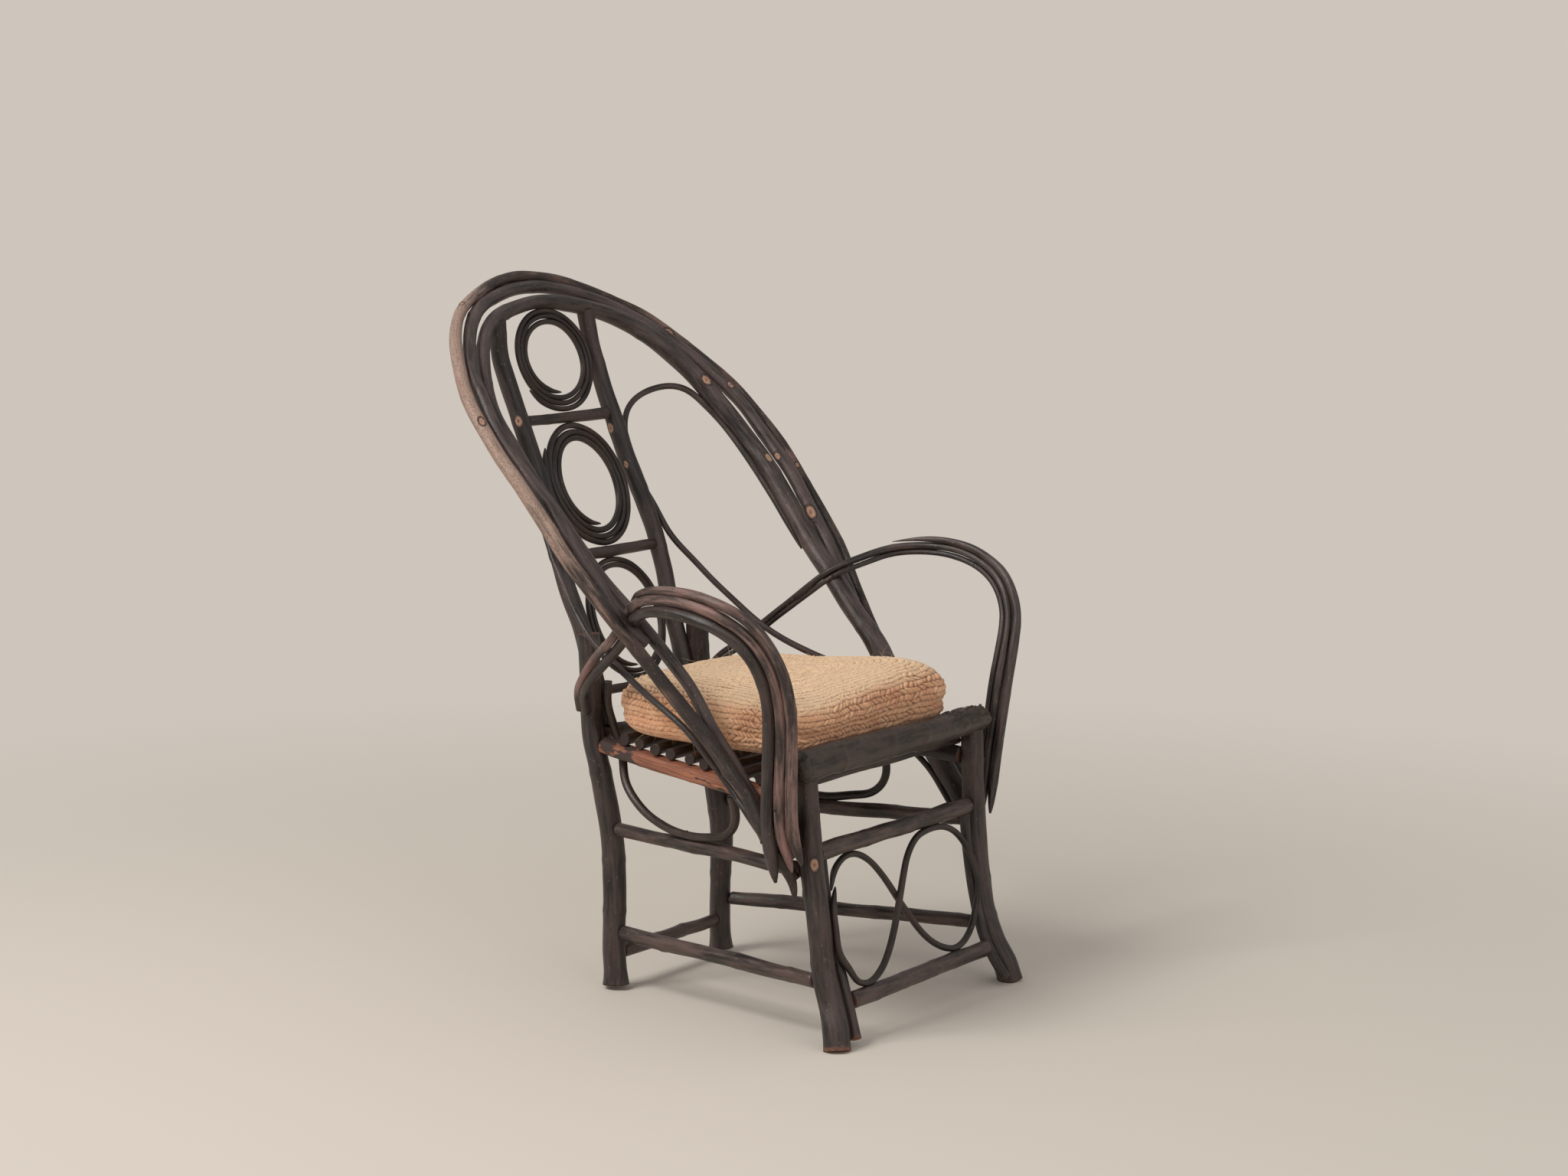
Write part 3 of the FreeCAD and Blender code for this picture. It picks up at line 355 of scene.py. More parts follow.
def clothe(node, material, knots=(), around=20, step=0.0035, rough=1.0, ease=0.02,
           every=0.13, foot=0.0, tone=None, broken=0.0, tips=(0.0, 0.0), hang=None, stout=1.0):
    """Make one twig's bark, let it stand for its CAD node, and hang it on the chair.

    Knots are places with their size as a share of the radius, and leaf scars come about once
    in every. Foot is how freshly the foot was chopped, broken how high split bark stands, and
    tips how far from each end, the low one first, the twig begins to taper. Below the height
    hang it runs on nearly straight to its low end. Stout is how many times thicker it is than
    its solid, one number or one for each station, and tone is how light its bark is, drawn at
    random or worked out by a function of its places.
    """
    notch = NOTCH_DEPTH.get(node.removesuffix("_left").removesuffix("_right"))
    points, radii = slices(node, notch) if notch else stations(node)
    if (foot or any(tips)) and points[-1][2] < points[0][2]:
        points, radii = points[::-1], radii[::-1]
    if hang:
        kept = points[:, 2] > hang
        end, points, radii = points[0], points[kept], radii[kept]
        way = points[0] - points[2]
        straight = points[0] + way * (end[2] - points[0][2]) / way[2]
        straight[:2] += DRAWN_BACK_SHARE * (end - straight)[:2]
        points, radii = np.vstack([straight, points]), np.append(radii[0], radii)
    radii = radii * (stout(points) if callable(stout) else stout)
    bent[node] = points, radii
    seed = sum(ord(letter) * (index + 3) for index, letter in enumerate(node))
    places, faces, skins = twig_shape(
        points, radii, seed, knots, around, step, rough, ease, every, foot, broken, tips
    )
    drawn = np.random.default_rng(seed + 5).uniform(0.35, 0.65)
    skins["tone"] = tone(places) if tone else np.full(len(places), drawn)
    piece = put_mesh(f"bark_{node}", places, faces, skins)
    piece.data.materials.append(material)
    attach(piece, "root")
    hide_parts(node)


def srgb(red, green, blue):
    """Turn a colour written as screen values into the linear one that shaders take."""
    parts = [value / 255 for value in (red, green, blue)]
    linear = (p / 12.92 if p <= 0.04045 else ((p + 0.055) / 1.055) ** 2.4 for p in parts)
    return tuple(linear) + (1.0,)


def shade(tree, kind, settings=(), links=(), **values):
    """Add a shader node, with its settings, its plain values by socket name, and its links."""
    made = tree.nodes.new(kind)
    for key, value in dict(settings).items():
        setattr(made, key, value)
    for key, value in values.items():
        made.inputs[key.replace("_", " ")].default_value = value
    for key, value in dict(links).items():
        if isinstance(value, bpy.types.NodeSocket):
            tree.links.new(value, made.inputs[key])
        else:
            made.inputs[key].default_value = value
    return made


def attribute(tree, name, output="Fac"):
    """Read a value, or with the output Vector a place, that the mesh carries at its corners."""
    return shade(tree, "ShaderNodeAttribute", {"attribute_name": name}).outputs[output]


def reckon(tree, operation, first, second=0.0, clamp=False):
    """One step of arithmetic on shader values."""
    made = shade(tree, "ShaderNodeMath", {"operation": operation, "use_clamp": clamp},
                 {0: first, 1: second})
    return made.outputs[0]


def scaled(tree, value, share):
    """A shader value times another, or times a plain share."""
    return reckon(tree, "MULTIPLY", value, share)


def centred(tree, noise, share=1.0):
    """Noise about nought in place of about a half, and times a share."""
    about = reckon(tree, "SUBTRACT", noise, 0.5)
    return about if share == 1.0 else scaled(tree, about, share)


def remap(tree, value, low, high, start=0.0, end=1.0):
    """Map a value smoothly from one range to another, held at both ends."""
    made = shade(tree, "ShaderNodeMapRange", {"interpolation_type": "SMOOTHSTEP"},
                 {0: value, 1: low, 2: high, 3: start, 4: end})
    return made.outputs[0]


def blend(tree, share, first, second):
    """Mix two colours by a share."""
    made = shade(tree, "ShaderNodeMix", {"data_type": "RGBA"}, {0: share, 6: first, 7: second})
    return made.outputs[2]


def squeezed(tree, place, shares):
    """Squeeze a place along its axes, so that a pattern on it runs out in long streaks."""
    made = shade(tree, "ShaderNodeVectorMath", {"operation": "MULTIPLY"}, {0: place, 1: shares})
    return made.outputs[0]


def stretched(tree, place, along):
    """Squeeze twig space along the twig only."""
    return squeezed(tree, place, (1, 1, along))


def distance(tree, place):
    """How far a place is from the middle of its space."""
    made = shade(tree, "ShaderNodeVectorMath", {"operation": "LENGTH"}, {0: place})
    return made.outputs["Value"]


def clouds(tree, place, scale, detail=3.0, rough=0.55):
    """Plain fractal noise on a place."""
    made = shade(tree, "ShaderNodeTexNoise", {}, {"Vector": place},
                 Scale=scale, Detail=detail, Roughness=rough)
    return made.outputs["Fac"]


def group(name, inputs, outputs):
    """Start a shader group with named sockets, and give it with its two end nodes."""
    made = bpy.data.node_groups.new(name, "ShaderNodeTree")
    for direction, sockets in (("INPUT", inputs), ("OUTPUT", outputs)):
        for label, kind, default in sockets:
            kind = f"NodeSocket{kind}"
            socket = made.interface.new_socket(name=label, in_out=direction, socket_type=kind)
            if default is not None:
                socket.default_value = default
    return made, made.nodes.new("NodeGroupInput").outputs, made.nodes.new("NodeGroupOutput").inputs


# Bark pattern: long streaks and fine lines along the twig, cloudy patches of another tint, dark
# pores, pale breathing spots, and, over all, the ringed knots and the sawn ends.
bark_group, bark_in, bark_out = group(
    "bark_pattern",
    (
        ("Deep", "Color", srgb(40, 33, 31)),
        ("Raised", "Color", srgb(98, 86, 84)),
        ("Tint", "Color", srgb(92, 74, 78)),
        ("Streaks", "Float", 1.0),
        ("Spots", "Float", 0.5),
        ("Flake", "Float", 0.0),
        ("Sawn", "Color", srgb(120, 82, 62)),
    ),
    (("Color", "Color", None), ("Roughness", "Float", None), ("Height", "Float", None)),
)
tree = bark_group
skin = attribute(tree, "bark", "Vector")
knot, cut, tone = (attribute(tree, name) for name in ("knot", "cut", "tone"))
streak = clouds(tree, stretched(tree, skin, 0.09), 190, 5, 0.62)
lines = clouds(tree, stretched(tree, skin, 0.04), 620, 2)
patch = clouds(tree, stretched(tree, skin, 0.35), 34, 4)
grain = clouds(tree, stretched(tree, skin, 0.7), 520, 4, 0.7)
pores = clouds(tree, stretched(tree, skin, 0.6), 360, 1, 0.3)
# streaks of the raised bark over the deep, more of them where the twig's tone is light
lit = reckon(tree, "ADD", centred(tree, streak), scaled(tree, tone, 0.5))
lit = reckon(tree, "ADD", lit, centred(tree, patch, 0.7))
lit = reckon(tree, "MULTIPLY", remap(tree, lit, 0.02, 0.55), bark_in["Streaks"], clamp=True)
colour = blend(tree, lit, bark_in["Deep"], bark_in["Raised"])
colour = blend(tree, scaled(tree, remap(tree, patch, 0.45, 0.72), 0.6), colour, bark_in["Tint"])
colour = blend(tree, scaled(tree, remap(tree, lines, 0.52, 0.75), 0.35), colour, srgb(30, 25, 24))
# dark pores, pale breathing spots, and brown under bark where it flakes off
dark_spot = scaled(tree, remap(tree, pores, 0.3, 0.2), 0.85)
colour = blend(tree, dark_spot, colour, srgb(28, 22, 20))
cells = shade(tree, "ShaderNodeTexVoronoi", {}, {"Vector": stretched(tree, skin, 0.55)},
              Scale=105.0)
pale_spot = scaled(tree, remap(tree, cells.outputs["Distance"], 0.16, 0.07), bark_in["Spots"])
colour = blend(tree, pale_spot, colour, srgb(150, 132, 120))
flaking = scaled(tree, remap(tree, grain, 0.5, 0.62), bark_in["Flake"])
colour = blend(tree, flaking, colour, srgb(84, 62, 55))
# knots: rings of colour by the distance from the middle, made ragged by the grain
RINGS_OF_KNOT = (
    (0.1, (112, 76, 64)), (0.2, (176, 134, 112)), (0.34, (192, 154, 130)),
    (0.46, (130, 98, 84)), (0.54, (54, 42, 38)),
)
ringed = reckon(tree, "ADD", knot, centred(tree, grain, 0.55))
rings = tree.nodes.new("ShaderNodeValToRGB")
tree.links.new(scaled(tree, ringed, 0.6), rings.inputs[0])
stops = rings.color_ramp.elements
stops[0].position, stops[0].color = 0.0, srgb(70, 46, 40)
stops[1].position, stops[1].color = 0.72, srgb(36, 29, 27)
for position, paint in RINGS_OF_KNOT:
    stop = stops.new(position)
    stop.color = srgb(*paint)
colour = blend(tree, remap(tree, ringed, 1.22, 0.98), colour, rings.outputs[0])
# the sawn end: year rings about the heart of the twig, and grime
year = reckon(tree, "SINE", scaled(tree, distance(tree, stretched(tree, skin, 0.0)), 5200))
sawn = blend(tree, remap(tree, year, -0.4, 1.0, 0.0, 0.4), bark_in["Sawn"], srgb(70, 46, 36))
sawn = blend(tree, remap(tree, grain, 0.45, 0.65, 0.0, 0.6), sawn, srgb(58, 42, 36))
tree.links.new(blend(tree, cut, colour, sawn), bark_out["Color"])
sheen = reckon(tree, "ADD", remap(tree, streak, 0.3, 0.7, 0.3, 0.52), scaled(tree, flaking, 0.3))
tree.links.new(reckon(tree, "ADD", sheen, scaled(tree, cut, 0.3)), bark_out["Roughness"])
# relief: each mark stands up or lies in by its own share, and knots ripple
height = scaled(tree, streak, 0.9)
for mark, share in (
    (lines, -0.35), (grain, 0.3), (dark_spot, -0.35), (flaking, -0.4), (pale_spot, 0.25),
):
    height = reckon(tree, "ADD", height, scaled(tree, mark, share))
ripple = scaled(tree, reckon(tree, "SINE", scaled(tree, ringed, 16.0)), 0.35)
height = reckon(tree, "ADD", height, scaled(tree, ripple, remap(tree, ringed, 1.3, 0.9)))
tree.links.new(height, bark_out["Height"])


def patterned(name, pattern_group, bump, depth):
    """A material whose colour, roughness and relief all come from one shader group."""
    made = bpy.data.materials.new(name)
    made.use_nodes = True
    tree = made.node_tree
    pattern = tree.nodes.new("ShaderNodeGroup")
    pattern.node_tree = pattern_group
    relief = shade(tree, "ShaderNodeBump", {}, {"Height": pattern.outputs["Height"]},
                   Strength=bump, Distance=depth)
    surface = tree.nodes["Principled BSDF"].inputs
    tree.links.new(pattern.outputs["Color"], surface["Base Color"])
    tree.links.new(pattern.outputs["Roughness"], surface["Roughness"])
    tree.links.new(relief.outputs["Normal"], surface["Normal"])
    return made, pattern.inputs


def bark_finish(name, deep, raised, tint, streaks, spots, flake, bump, sawn=(112, 74, 58)):
    """One kind of bark: the shared pattern with this wood's own colours, over a satin surface."""
    made, pattern = patterned(name, bark_group, bump, 0.0011)
    for label, paint in (("Deep", deep), ("Raised", raised), ("Tint", tint), ("Sawn", sawn)):
        pattern[label].default_value = srgb(*paint)
    for label, share in (("Streaks", streaks), ("Spots", spots), ("Flake", flake)):
        pattern[label].default_value = share
    return made


dark_bark = bark_finish("dark_bark", (26, 21, 20), (78, 65, 61), (72, 54, 54), 1.0, 0.22, 0.0, 0.85)
foot_bark = bark_finish(
    "foot_bark", (26, 21, 20), (80, 66, 62), (76, 57, 56), 1.0, 0.22, 0.0, 0.9, (158, 108, 84)
)
for node in ("front_leg_left", "front_leg_right", "rear_leg_left", "rear_leg_right"):
    nearest = node == "front_leg_right"
    marks = (((-0.2476, -0.3434, 0.273), 0.5),) if nearest else ()
    fresh = 0.8 if nearest else 0.15
    finish = foot_bark if node.startswith("front") else dark_bark
    clothe(node, finish, marks, around=36, rough=1.3, foot=fresh, every=0.1)
for node, fresh in (("leg_stick_left", 0.15), ("leg_stick_right", 0.5)):
    clothe(node, foot_bark, foot=fresh)

# Front log: one thick log laid in the notched tops of the front posts, its ends chopped dark
# and its bark split along the top towards the left one, and a thin stick close behind it.
black_bark = bark_finish(
    "black_bark", (26, 21, 19), (82, 68, 60), (66, 52, 46), 1.0, 0.1, 0.1, 0.8, (62, 46, 40)
)
clothe("front_rail", black_bark, around=72, rough=1.6, step=0.002, every=0.12,
       broken=0.0022, tips=(0.012, 0.012))
clothe("seat_edge_slat", black_bark)

# Rungs: straight sticks whittled a little thinner at the ends that meet the posts, their bark
# painted a little paler than the posts': a painted sheen for the light along their tops.
rung_sheen_bark = bark_finish(
    "rung_sheen_bark", (32, 26, 24), (104, 86, 80), (92, 70, 66), 1.0, 0.25, 0.0, 0.85
)
for node in (
    "front_rung_upper", "front_rung_lower", "side_rung_upper_left", "side_rung_upper_right",
    "side_rung_lower_left", "side_rung_lower_right", "rear_rung_lower",
):
    clothe(node, rung_sheen_bark, rough=1.3, every=0.09, stout=1.12)

# Seat: two bowed side rails, the near one with its bark peeled off, a rail across the back, and
# ten round slats across them under the cushion.
peeled_group, peeled_in, peeled_out = group(
    "peeled_pattern",
    (("Wood", "Color", srgb(178, 116, 86)), ("Line", "Color", srgb(92, 56, 45))),
    (("Color", "Color", None), ("Roughness", "Float", None), ("Height", "Float", None)),
)
tree = peeled_group
skin = attribute(tree, "bark", "Vector")
knot = attribute(tree, "knot")
rearward = attribute(tree, "tone")
fibre = clouds(tree, stretched(tree, skin, 0.03), 420, 5, 0.6)
broad = clouds(tree, stretched(tree, skin, 0.12), 60, 3)
crack = clouds(tree, stretched(tree, skin, 0.02), 150, 2)
colour = blend(tree, remap(tree, broad, 0.3, 0.65, 0.0, 0.8), peeled_in["Wood"], srgb(122, 74, 58))
colour = blend(tree, remap(tree, fibre, 0.44, 0.68, 0.0, 0.85), colour, peeled_in["Line"])
split = remap(tree, crack, 0.335, 0.29)
colour = blend(tree, scaled(tree, split, 0.8), colour, srgb(58, 36, 30))
# scraps of bark left on, more of them towards the rear post, where the tone is the way back
ragged = clouds(tree, stretched(tree, skin, 0.3), 48, 4, 0.6)
ragged = reckon(tree, "ADD", ragged, remap(tree, rearward, 0.0, 0.12, 0.0, 0.16))
left_on = remap(tree, ragged, 0.6, 0.64)
colour = blend(tree, left_on, colour, srgb(62, 48, 44))
colour = blend(tree, remap(tree, knot, 1.1, 0.6), colour, srgb(84, 48, 38))
tree.links.new(colour, peeled_out["Color"])
tree.links.new(remap(tree, fibre, 0.3, 0.7, 0.42, 0.6), peeled_out["Roughness"])
height = reckon(tree, "SUBTRACT", scaled(tree, fibre, 0.6), scaled(tree, split, 0.9))
tree.links.new(reckon(tree, "ADD", height, scaled(tree, left_on, 0.7)), peeled_out["Height"])
peeled_wood, _ = patterned("peeled_wood", peeled_group, 0.6, 0.0009)
clothe("side_rail_right", peeled_wood, around=36, rough=1.3,
       tone=lambda places: places[:, 1])
clothe("side_rail_left", dark_bark, around=28)
# its sawn ends are nearly black: painted shade for the slats' ends, which lie in shadow under the
# cushion and by the rail
brown_bark = bark_finish(
    "brown_bark", (28, 22, 20), (76, 60, 53), (66, 49, 45), 0.9, 0.15, 0.0, 0.6, (46, 35, 31)
)
clothe("rear_seat_rail", dark_bark)
SLATS = 10
for number in range(1, SLATS + 1):
    clothe(f"seat_slat_{number:02d}", brown_bark, around=16, step=0.006)

# Hoops: three long rods bent over the back while green, side by side, and nailed behind the front
# posts. The outermost is pale and scabby; it is painted paler on its near side and darker over the
# crown, partly its own bark and partly painted light and shade.
grey_bark = bark_finish("grey_bark", (32, 26, 25), (94, 80, 77), (86, 67, 68), 1.0, 0.3, 0.0, 0.8)
pale_bark = bark_finish(
    "pale_bark", (38, 30, 28), (172, 146, 132), (146, 110, 100), 1.1, 0.2, 0.5, 1.0
)


def lit_side_tone(places):
    """Pale on the near side above the arm, fading to dark over the crown and below: partly the
    bark's own tone, and partly painted light on the near side and painted shade over the crown.

    This is the product of two smooth steps, one from left to right and one up, over a least tone.
    """
    side = np.clip((-places[:, 0] - 0.04) / 0.2, 0, 1)
    above = np.clip((places[:, 2] - 0.6) / 0.22, 0, 1)
    return 0.05 + side * side * (3 - 2 * side) * above * above * (3 - 2 * above)


def stouter_left(points):
    """Up to a quarter thicker on the left side, growing from the middle of the crown."""
    return 1 + 0.25 * np.clip(points[:, 0] / 0.2, 0, 1)


clothe("hoop_outer", pale_bark, (
    ((-0.1965, 0.3538, 1.0692), 0.55), ((-0.3516, 0.1872, 0.902), 0.7),
    ((0.2677, 0.2944, 1.006), 0.9), ((0.3478, 0.0894, 0.7886), 0.6),
), tone=lit_side_tone, ease=0.05, tips=(0.09, 0.09))
clothe("hoop_middle", grey_bark, (
    ((0.3103, 0.1996, 0.919), 0.55), ((0.3136, 0.1046, 0.8045), 0.6),
    ((0.309, 0.0343, 0.7149), 0.95),
), ease=0.05, stout=1.12)
clothe("hoop_inner", grey_bark, (
    ((-0.12, 0.345, 1.045), 0.7), ((0.27, 0.22, 0.93), 0.6), ((0.288, 0.1, 0.81), 0.5),
), ease=0.07, stout=stouter_left)

# Back: two crooked stiles from the seat rail up under the hoops, three short bars between them,
# and a thin rod wound into a coil over each bar.
clothe("back_stile_right", dark_bark, (((-0.1319, 0.2952, 0.8856), 0.6),), around=24)
clothe("back_stile_left", dark_bark, (
    ((0.105, 0.2941, 0.8559), 0.62), ((0.098, 0.262, 0.80), 0.4),
), around=24)
for node in ("back_bar_upper", "back_bar_lower", "rear_cross_rail"):
    clothe(node, dark_bark, rough=1.3)
for node in ("ring_upper", "ring_middle", "ring_lower"):
    clothe(node, brown_bark, around=14, ease=0.012, rough=0.8, every=0.16,
           tips=(0.03, 0.03))
for node in ("side_loop_right", "side_loop_left"):
    clothe(node, dark_bark, around=14, rough=0.8, every=0.17, ease=0.05,
           tips=(0.0, 0.06))

# Arms: on each side three rods nested in one bend, up from the front post and back through the
# hoops to the rear post.
# the near side's outer and middle arm rods get a paler copy of the bark: painted highlight where the
# light falls along their tops
highlit_bark = bark_finish(
    "highlit_bark", (40, 31, 29), (150, 122, 114), (140, 102, 95), 1.1, 0.3, 0.15, 0.9
)
for side, highlit in (("right", highlit_bark), ("left", grey_bark)):
    for part in ("outer", "middle", "inner"):
        finish = dark_bark if part == "inner" else highlit
        marks = (((0.297, 0.045, 0.664), 0.9),) if (part, side) == ("inner", "left") else ()
        tips = (0.05, 0.07 if part == "outer" else 0.0)
        clothe(f"arm_{part}_{side}", finish, marks, around=24, ease=0.04,
               tips=tips, hang=0.32)

# Thin bent twigs below the seat: a brace on each side, and the figure of eight between the
# front rungs.
for node in ("seat_brace_right", "seat_brace_left"):
    clothe(node, brown_bark, around=16, rough=0.8)
clothe("front_scroll", brown_bark, around=16, rough=0.8, tips=(0.03, 0.03))

# Cushion: a loose pad of knobbly plaited straw, its plait sewn round and round from the middle
# of the top to the foot of the side. It is crowned, drawn in at its waist, and flat below.
# The corner radii are those of the two front corners and then of the two rear ones.
low, high = (np.array(corner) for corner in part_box("cushion"))
HALF_DEPTH = (high[1] - low[1]) / 2
REAR_WIDTH_SHARE = 0.9 / 1.09
MIDDLE = np.array([0.0, (high[1] + low[1]) / 2])
CORNER_RADII = np.array([0.074, 0.074, 0.112, 0.112])
PLAIT_WIDTH = 0.0085
KNOB_LENGTH = 0.0098


def pad_outline(count):
    """Round the four corners of the pad's plan.

    A corner's hub lies on its bisector, radius / sin(half its angle) in from the corner, and its
    arc turns about the hub from one straight to the next. Places are then even along the rim.
    """
    front, rear = high[0], high[0] * REAR_WIDTH_SHARE
    plan = np.array([
        [-front, -HALF_DEPTH], [front, -HALF_DEPTH], [rear, HALF_DEPTH], [-rear, HALF_DEPTH],
    ])
    before = unit(np.roll(plan, 1, axis=0) - plan)
    after = unit(np.roll(plan, -1, axis=0) - plan)
    half = np.arccos((before * after).sum(1)) / 2
    hub = plan + unit(before + after) * (CORNER_RADII / np.sin(half))[:, None]
    first = np.arctan2(-after[:, 0], after[:, 1]) - (np.pi - 2 * half)
    turn = first[:, None] + (np.pi - 2 * half)[:, None] * np.linspace(0, 1, 60)
    rim = hub[:, None] + CORNER_RADII[:, None, None] * np.stack([np.cos(turn), np.sin(turn)], -1)
    rim = rim.reshape(-1, 2)
    rim = np.vstack([rim, rim[:1]])
    reach = lengths_along(rim)
    at = np.linspace(0, reach[-1], count, endpoint=False)
    return np.column_stack([np.interp(at, reach, rim[:, axis]) for axis in range(2)]), reach[-1]


# The pad's half section, from the middle of its top round the side to the middle of its foot:
# how far it is drawn in, in millimetres, and its height, in percent of the pad's own.
INSET_MM = (200, 150, 100, 62, 38, 21, 9.5, 3, 0, 0.5, 3, 4.2, 2.6, 4.5, 13, 29, 60, 100, 200)
RISE_PERCENT = (97, 98.5, 99.5, 98, 94, 87.5, 78, 67, 56, 47, 41, 36, 29, 18, 7, 1.5, 0, 0, 0)


def pad_profile(count):
    """Carry a smooth line through the half section: shrink of the plan, height, and length."""
    deep = high[2] - low[2]
    drawn = HALF_DEPTH - np.minimum(np.array(INSET_MM) / 1000, HALF_DEPTH)
    knee = np.column_stack([drawn, np.array(RISE_PERCENT) / 100 * deep, np.zeros(len(drawn))])
    line, at = smooth_line(knee, 0.0004, 0.006)
    share = np.linspace(0, at[-1], count)
    shrink = np.interp(share, at, line[:, 0]) / HALF_DEPTH
    return np.clip(shrink, 0, 1), np.interp(share, at, line[:, 1]), share


def pad_grid(around, along):
    """Sweep the profile round the outline: place = middle + outline x shrink, at its height."""
    rim, girth = pad_outline(around)
    shrink, rise, share = pad_profile(along)
    grid = np.empty((along, around, 3))
    grid[..., :2] = MIDDLE + rim[None] * shrink[:, None, None]
    grid[..., 2] = low[2] + rise[:, None]
    return grid, girth, shrink, share


CLOTH_AROUND, CLOTH_ALONG = 96, 48
CLOTH_PRESSURE = 3.0
CLOTH_STRETCH = 25
CLOTH_BEND = 8
CLOTH_FRAMES = 16
MOST_PUFF = 0.006
EASING_ROUNDS = 14


def puffed(around, along):
    """Blow the plain pad up with cloth under pressure, and give how far each place moved.

    Creases are eased out: each move becomes the mean of itself twice and its two neighbours,
    round the pad and then along it, over and over.
    """
    grid, _, _, _ = pad_grid(around, along + 2)
    grid = grid[1:-1]
    pad = put_mesh("pad", with_poles(grid), tube_faces(along, around, mirrored=True))
    cloth = pad.modifiers.new("cloth", "CLOTH")
    cloth.settings.use_pressure = True
    cloth.settings.uniform_pressure_force = CLOTH_PRESSURE
    cloth.settings.tension_stiffness = cloth.settings.compression_stiffness = CLOTH_STRETCH
    cloth.settings.bending_stiffness = CLOTH_BEND
    cloth.settings.effector_weights.gravity = 0
    cloth.point_cache.frame_start, cloth.point_cache.frame_end = 1, CLOTH_FRAMES
    for number in range(1, CLOTH_FRAMES + 1):
        scene.frame_set(number)
    ready = pad.evaluated_get(bpy.context.evaluated_depsgraph_get()).data
    moved = pull(ready.vertices, "co", 3)[:-2].reshape(along, around, 3) - grid
    scene.frame_set(1)
    mesh = pad.data
    bpy.data.objects.remove(pad)
    bpy.data.meshes.remove(mesh)
    far = np.linalg.norm(moved, axis=-1, keepdims=True)
    moved = moved * np.minimum(1, MOST_PUFF / np.maximum(far, 1e-9))
    for _ in range(EASING_ROUNDS):
        moved = (2 * moved + np.roll(moved, 1, 1) + np.roll(moved, -1, 1)) / 4
        held = np.concatenate([moved[:1], moved, moved[-1:]])
        moved = (2 * moved + held[:-2] + held[2:]) / 4
    return moved


def refine(field, along, around):
    """Spread a coarse field of rows and columns evenly over a finer one, round and round."""
    rows = np.linspace(0, field.shape[0] - 1, along)
    turns = np.linspace(0, field.shape[1], around, endpoint=False)
    i, j = np.minimum(rows.astype(int), field.shape[0] - 2), turns.astype(int)
    p, q = (rows - i)[:, None, None], (turns - j)[None, :, None]
    p, q = p * p * (3 - 2 * p), q * q * (3 - 2 * q)
    right = (j + 1) % field.shape[1]
    top = field[i][:, j] * (1 - q) + field[i][:, right] * q
    foot = field[i + 1][:, j] * (1 - q) + field[i + 1][:, right] * q
    return top * (1 - p) + foot * p


AROUND, ALONG = 860, 330
grid, girth, shrink, share = pad_grid(AROUND, ALONG)
grid = grid + refine(puffed(CLOTH_AROUND, CLOTH_ALONG), ALONG, AROUND)
# the top rolls: its left front corner is raised, and a hump and two hollows lie on it. Each has
# a height, its place to the left and back of the middle, and a width.
ROLLS = (
    (0.011, 0.17, -0.14, 0.12), (0.006, -0.07, 0.05, 0.11),
    (-0.005, 0.06, 0.02, 0.09), (-0.004, -0.15, -0.14, 0.08),
)
top = np.clip((grid[..., 2] - low[2]) / (high[2] - low[2]), 0, 1) ** 2
x, y = grid[..., 0], grid[..., 1] - MIDDLE[1]
for height, left, behind, wide in ROLLS:
    grid[..., 2] += top * height * np.exp(-((x - left) ** 2 + (y - behind) ** 2) / wide**2)
slope_along = np.gradient(grid, axis=0)
slope_around = (np.roll(grid, -1, 1) - np.roll(grid, 1, 1)) / 2
out = unit(np.cross(slope_along, slope_around))
out[0], out[-1] = (0, 0, 1), (0, 0, -1)
# plait: the row is the length run / PLAIT_WIDTH + a part of a turn + a slow drift and sway. Each
# row is knobs |sin(pi x slant)| of uneven length and size on a rounded back, standing high round
# the shoulder, lower down the side, and worn nearly smooth on top
KNOB_HEIGHT = 0.0052
COIL_HEIGHT = 0.0012
SUNK = 0.002
SLANT = 0.42
PLAIT_SWAY = 0.28
ROWS_DRAWN, SIZES_DRAWN = 200, 997
FACING_FOR_KNOBS = (-1, -0.5, -0.1, 0.15, 0.5, 0.8, 0.93, 1)
KNOBS_BY_FACING = (0.1, 0.6, 0.8, 0.9, 1, 0.9, 0.65, 0.4)
FACING_FOR_COILS = (-1, -0.6, -0.1, 0.3, 0.95, 1)
COILS_BY_FACING = (0.1, 0.3, 0.55, 0.4, 0.3, 0.3)
rng = np.random.default_rng(7)
angle = np.linspace(0, 2 * np.pi, AROUND, endpoint=False)
turned = angle[None] / (2 * np.pi)
run = share[:, None]
drift = sum(
    rng.uniform(0.1, 0.35) / lobes * np.sin(lobes * angle + rng.uniform(0, 6.28))
    for lobes in (1, 2, 3, 5, 8, 13)
)
sway = np.sin(run / 0.017 + 3 * np.sin(4 * angle)) * np.sin(9 * angle + run * 55)
row = run / PLAIT_WIDTH + drift[None] + turned + PLAIT_SWAY * sway
number = np.floor(row).astype(int)
across = 2 * (row - number) - 1
jitter = rng.uniform(0, 1, ROWS_DRAWN)[np.clip(number, 0, ROWS_DRAWN - 1)]
rim_share = np.clip(np.interp((number + 0.5) * PLAIT_WIDTH, share, shrink), 0.05, 1)
travel = turned * np.round(girth * rim_share / KNOB_LENGTH)
travel = travel + 0.5 * np.sin(travel * 0.9 + jitter * 9) + jitter * 7
slant = travel + SLANT * across * np.where(number % 2, 1, -1)
lobe = np.abs(np.sin(np.pi * slant)) ** 0.8
drawn = (np.floor(slant).astype(int) * 7 + number * 131) % SIZES_DRAWN
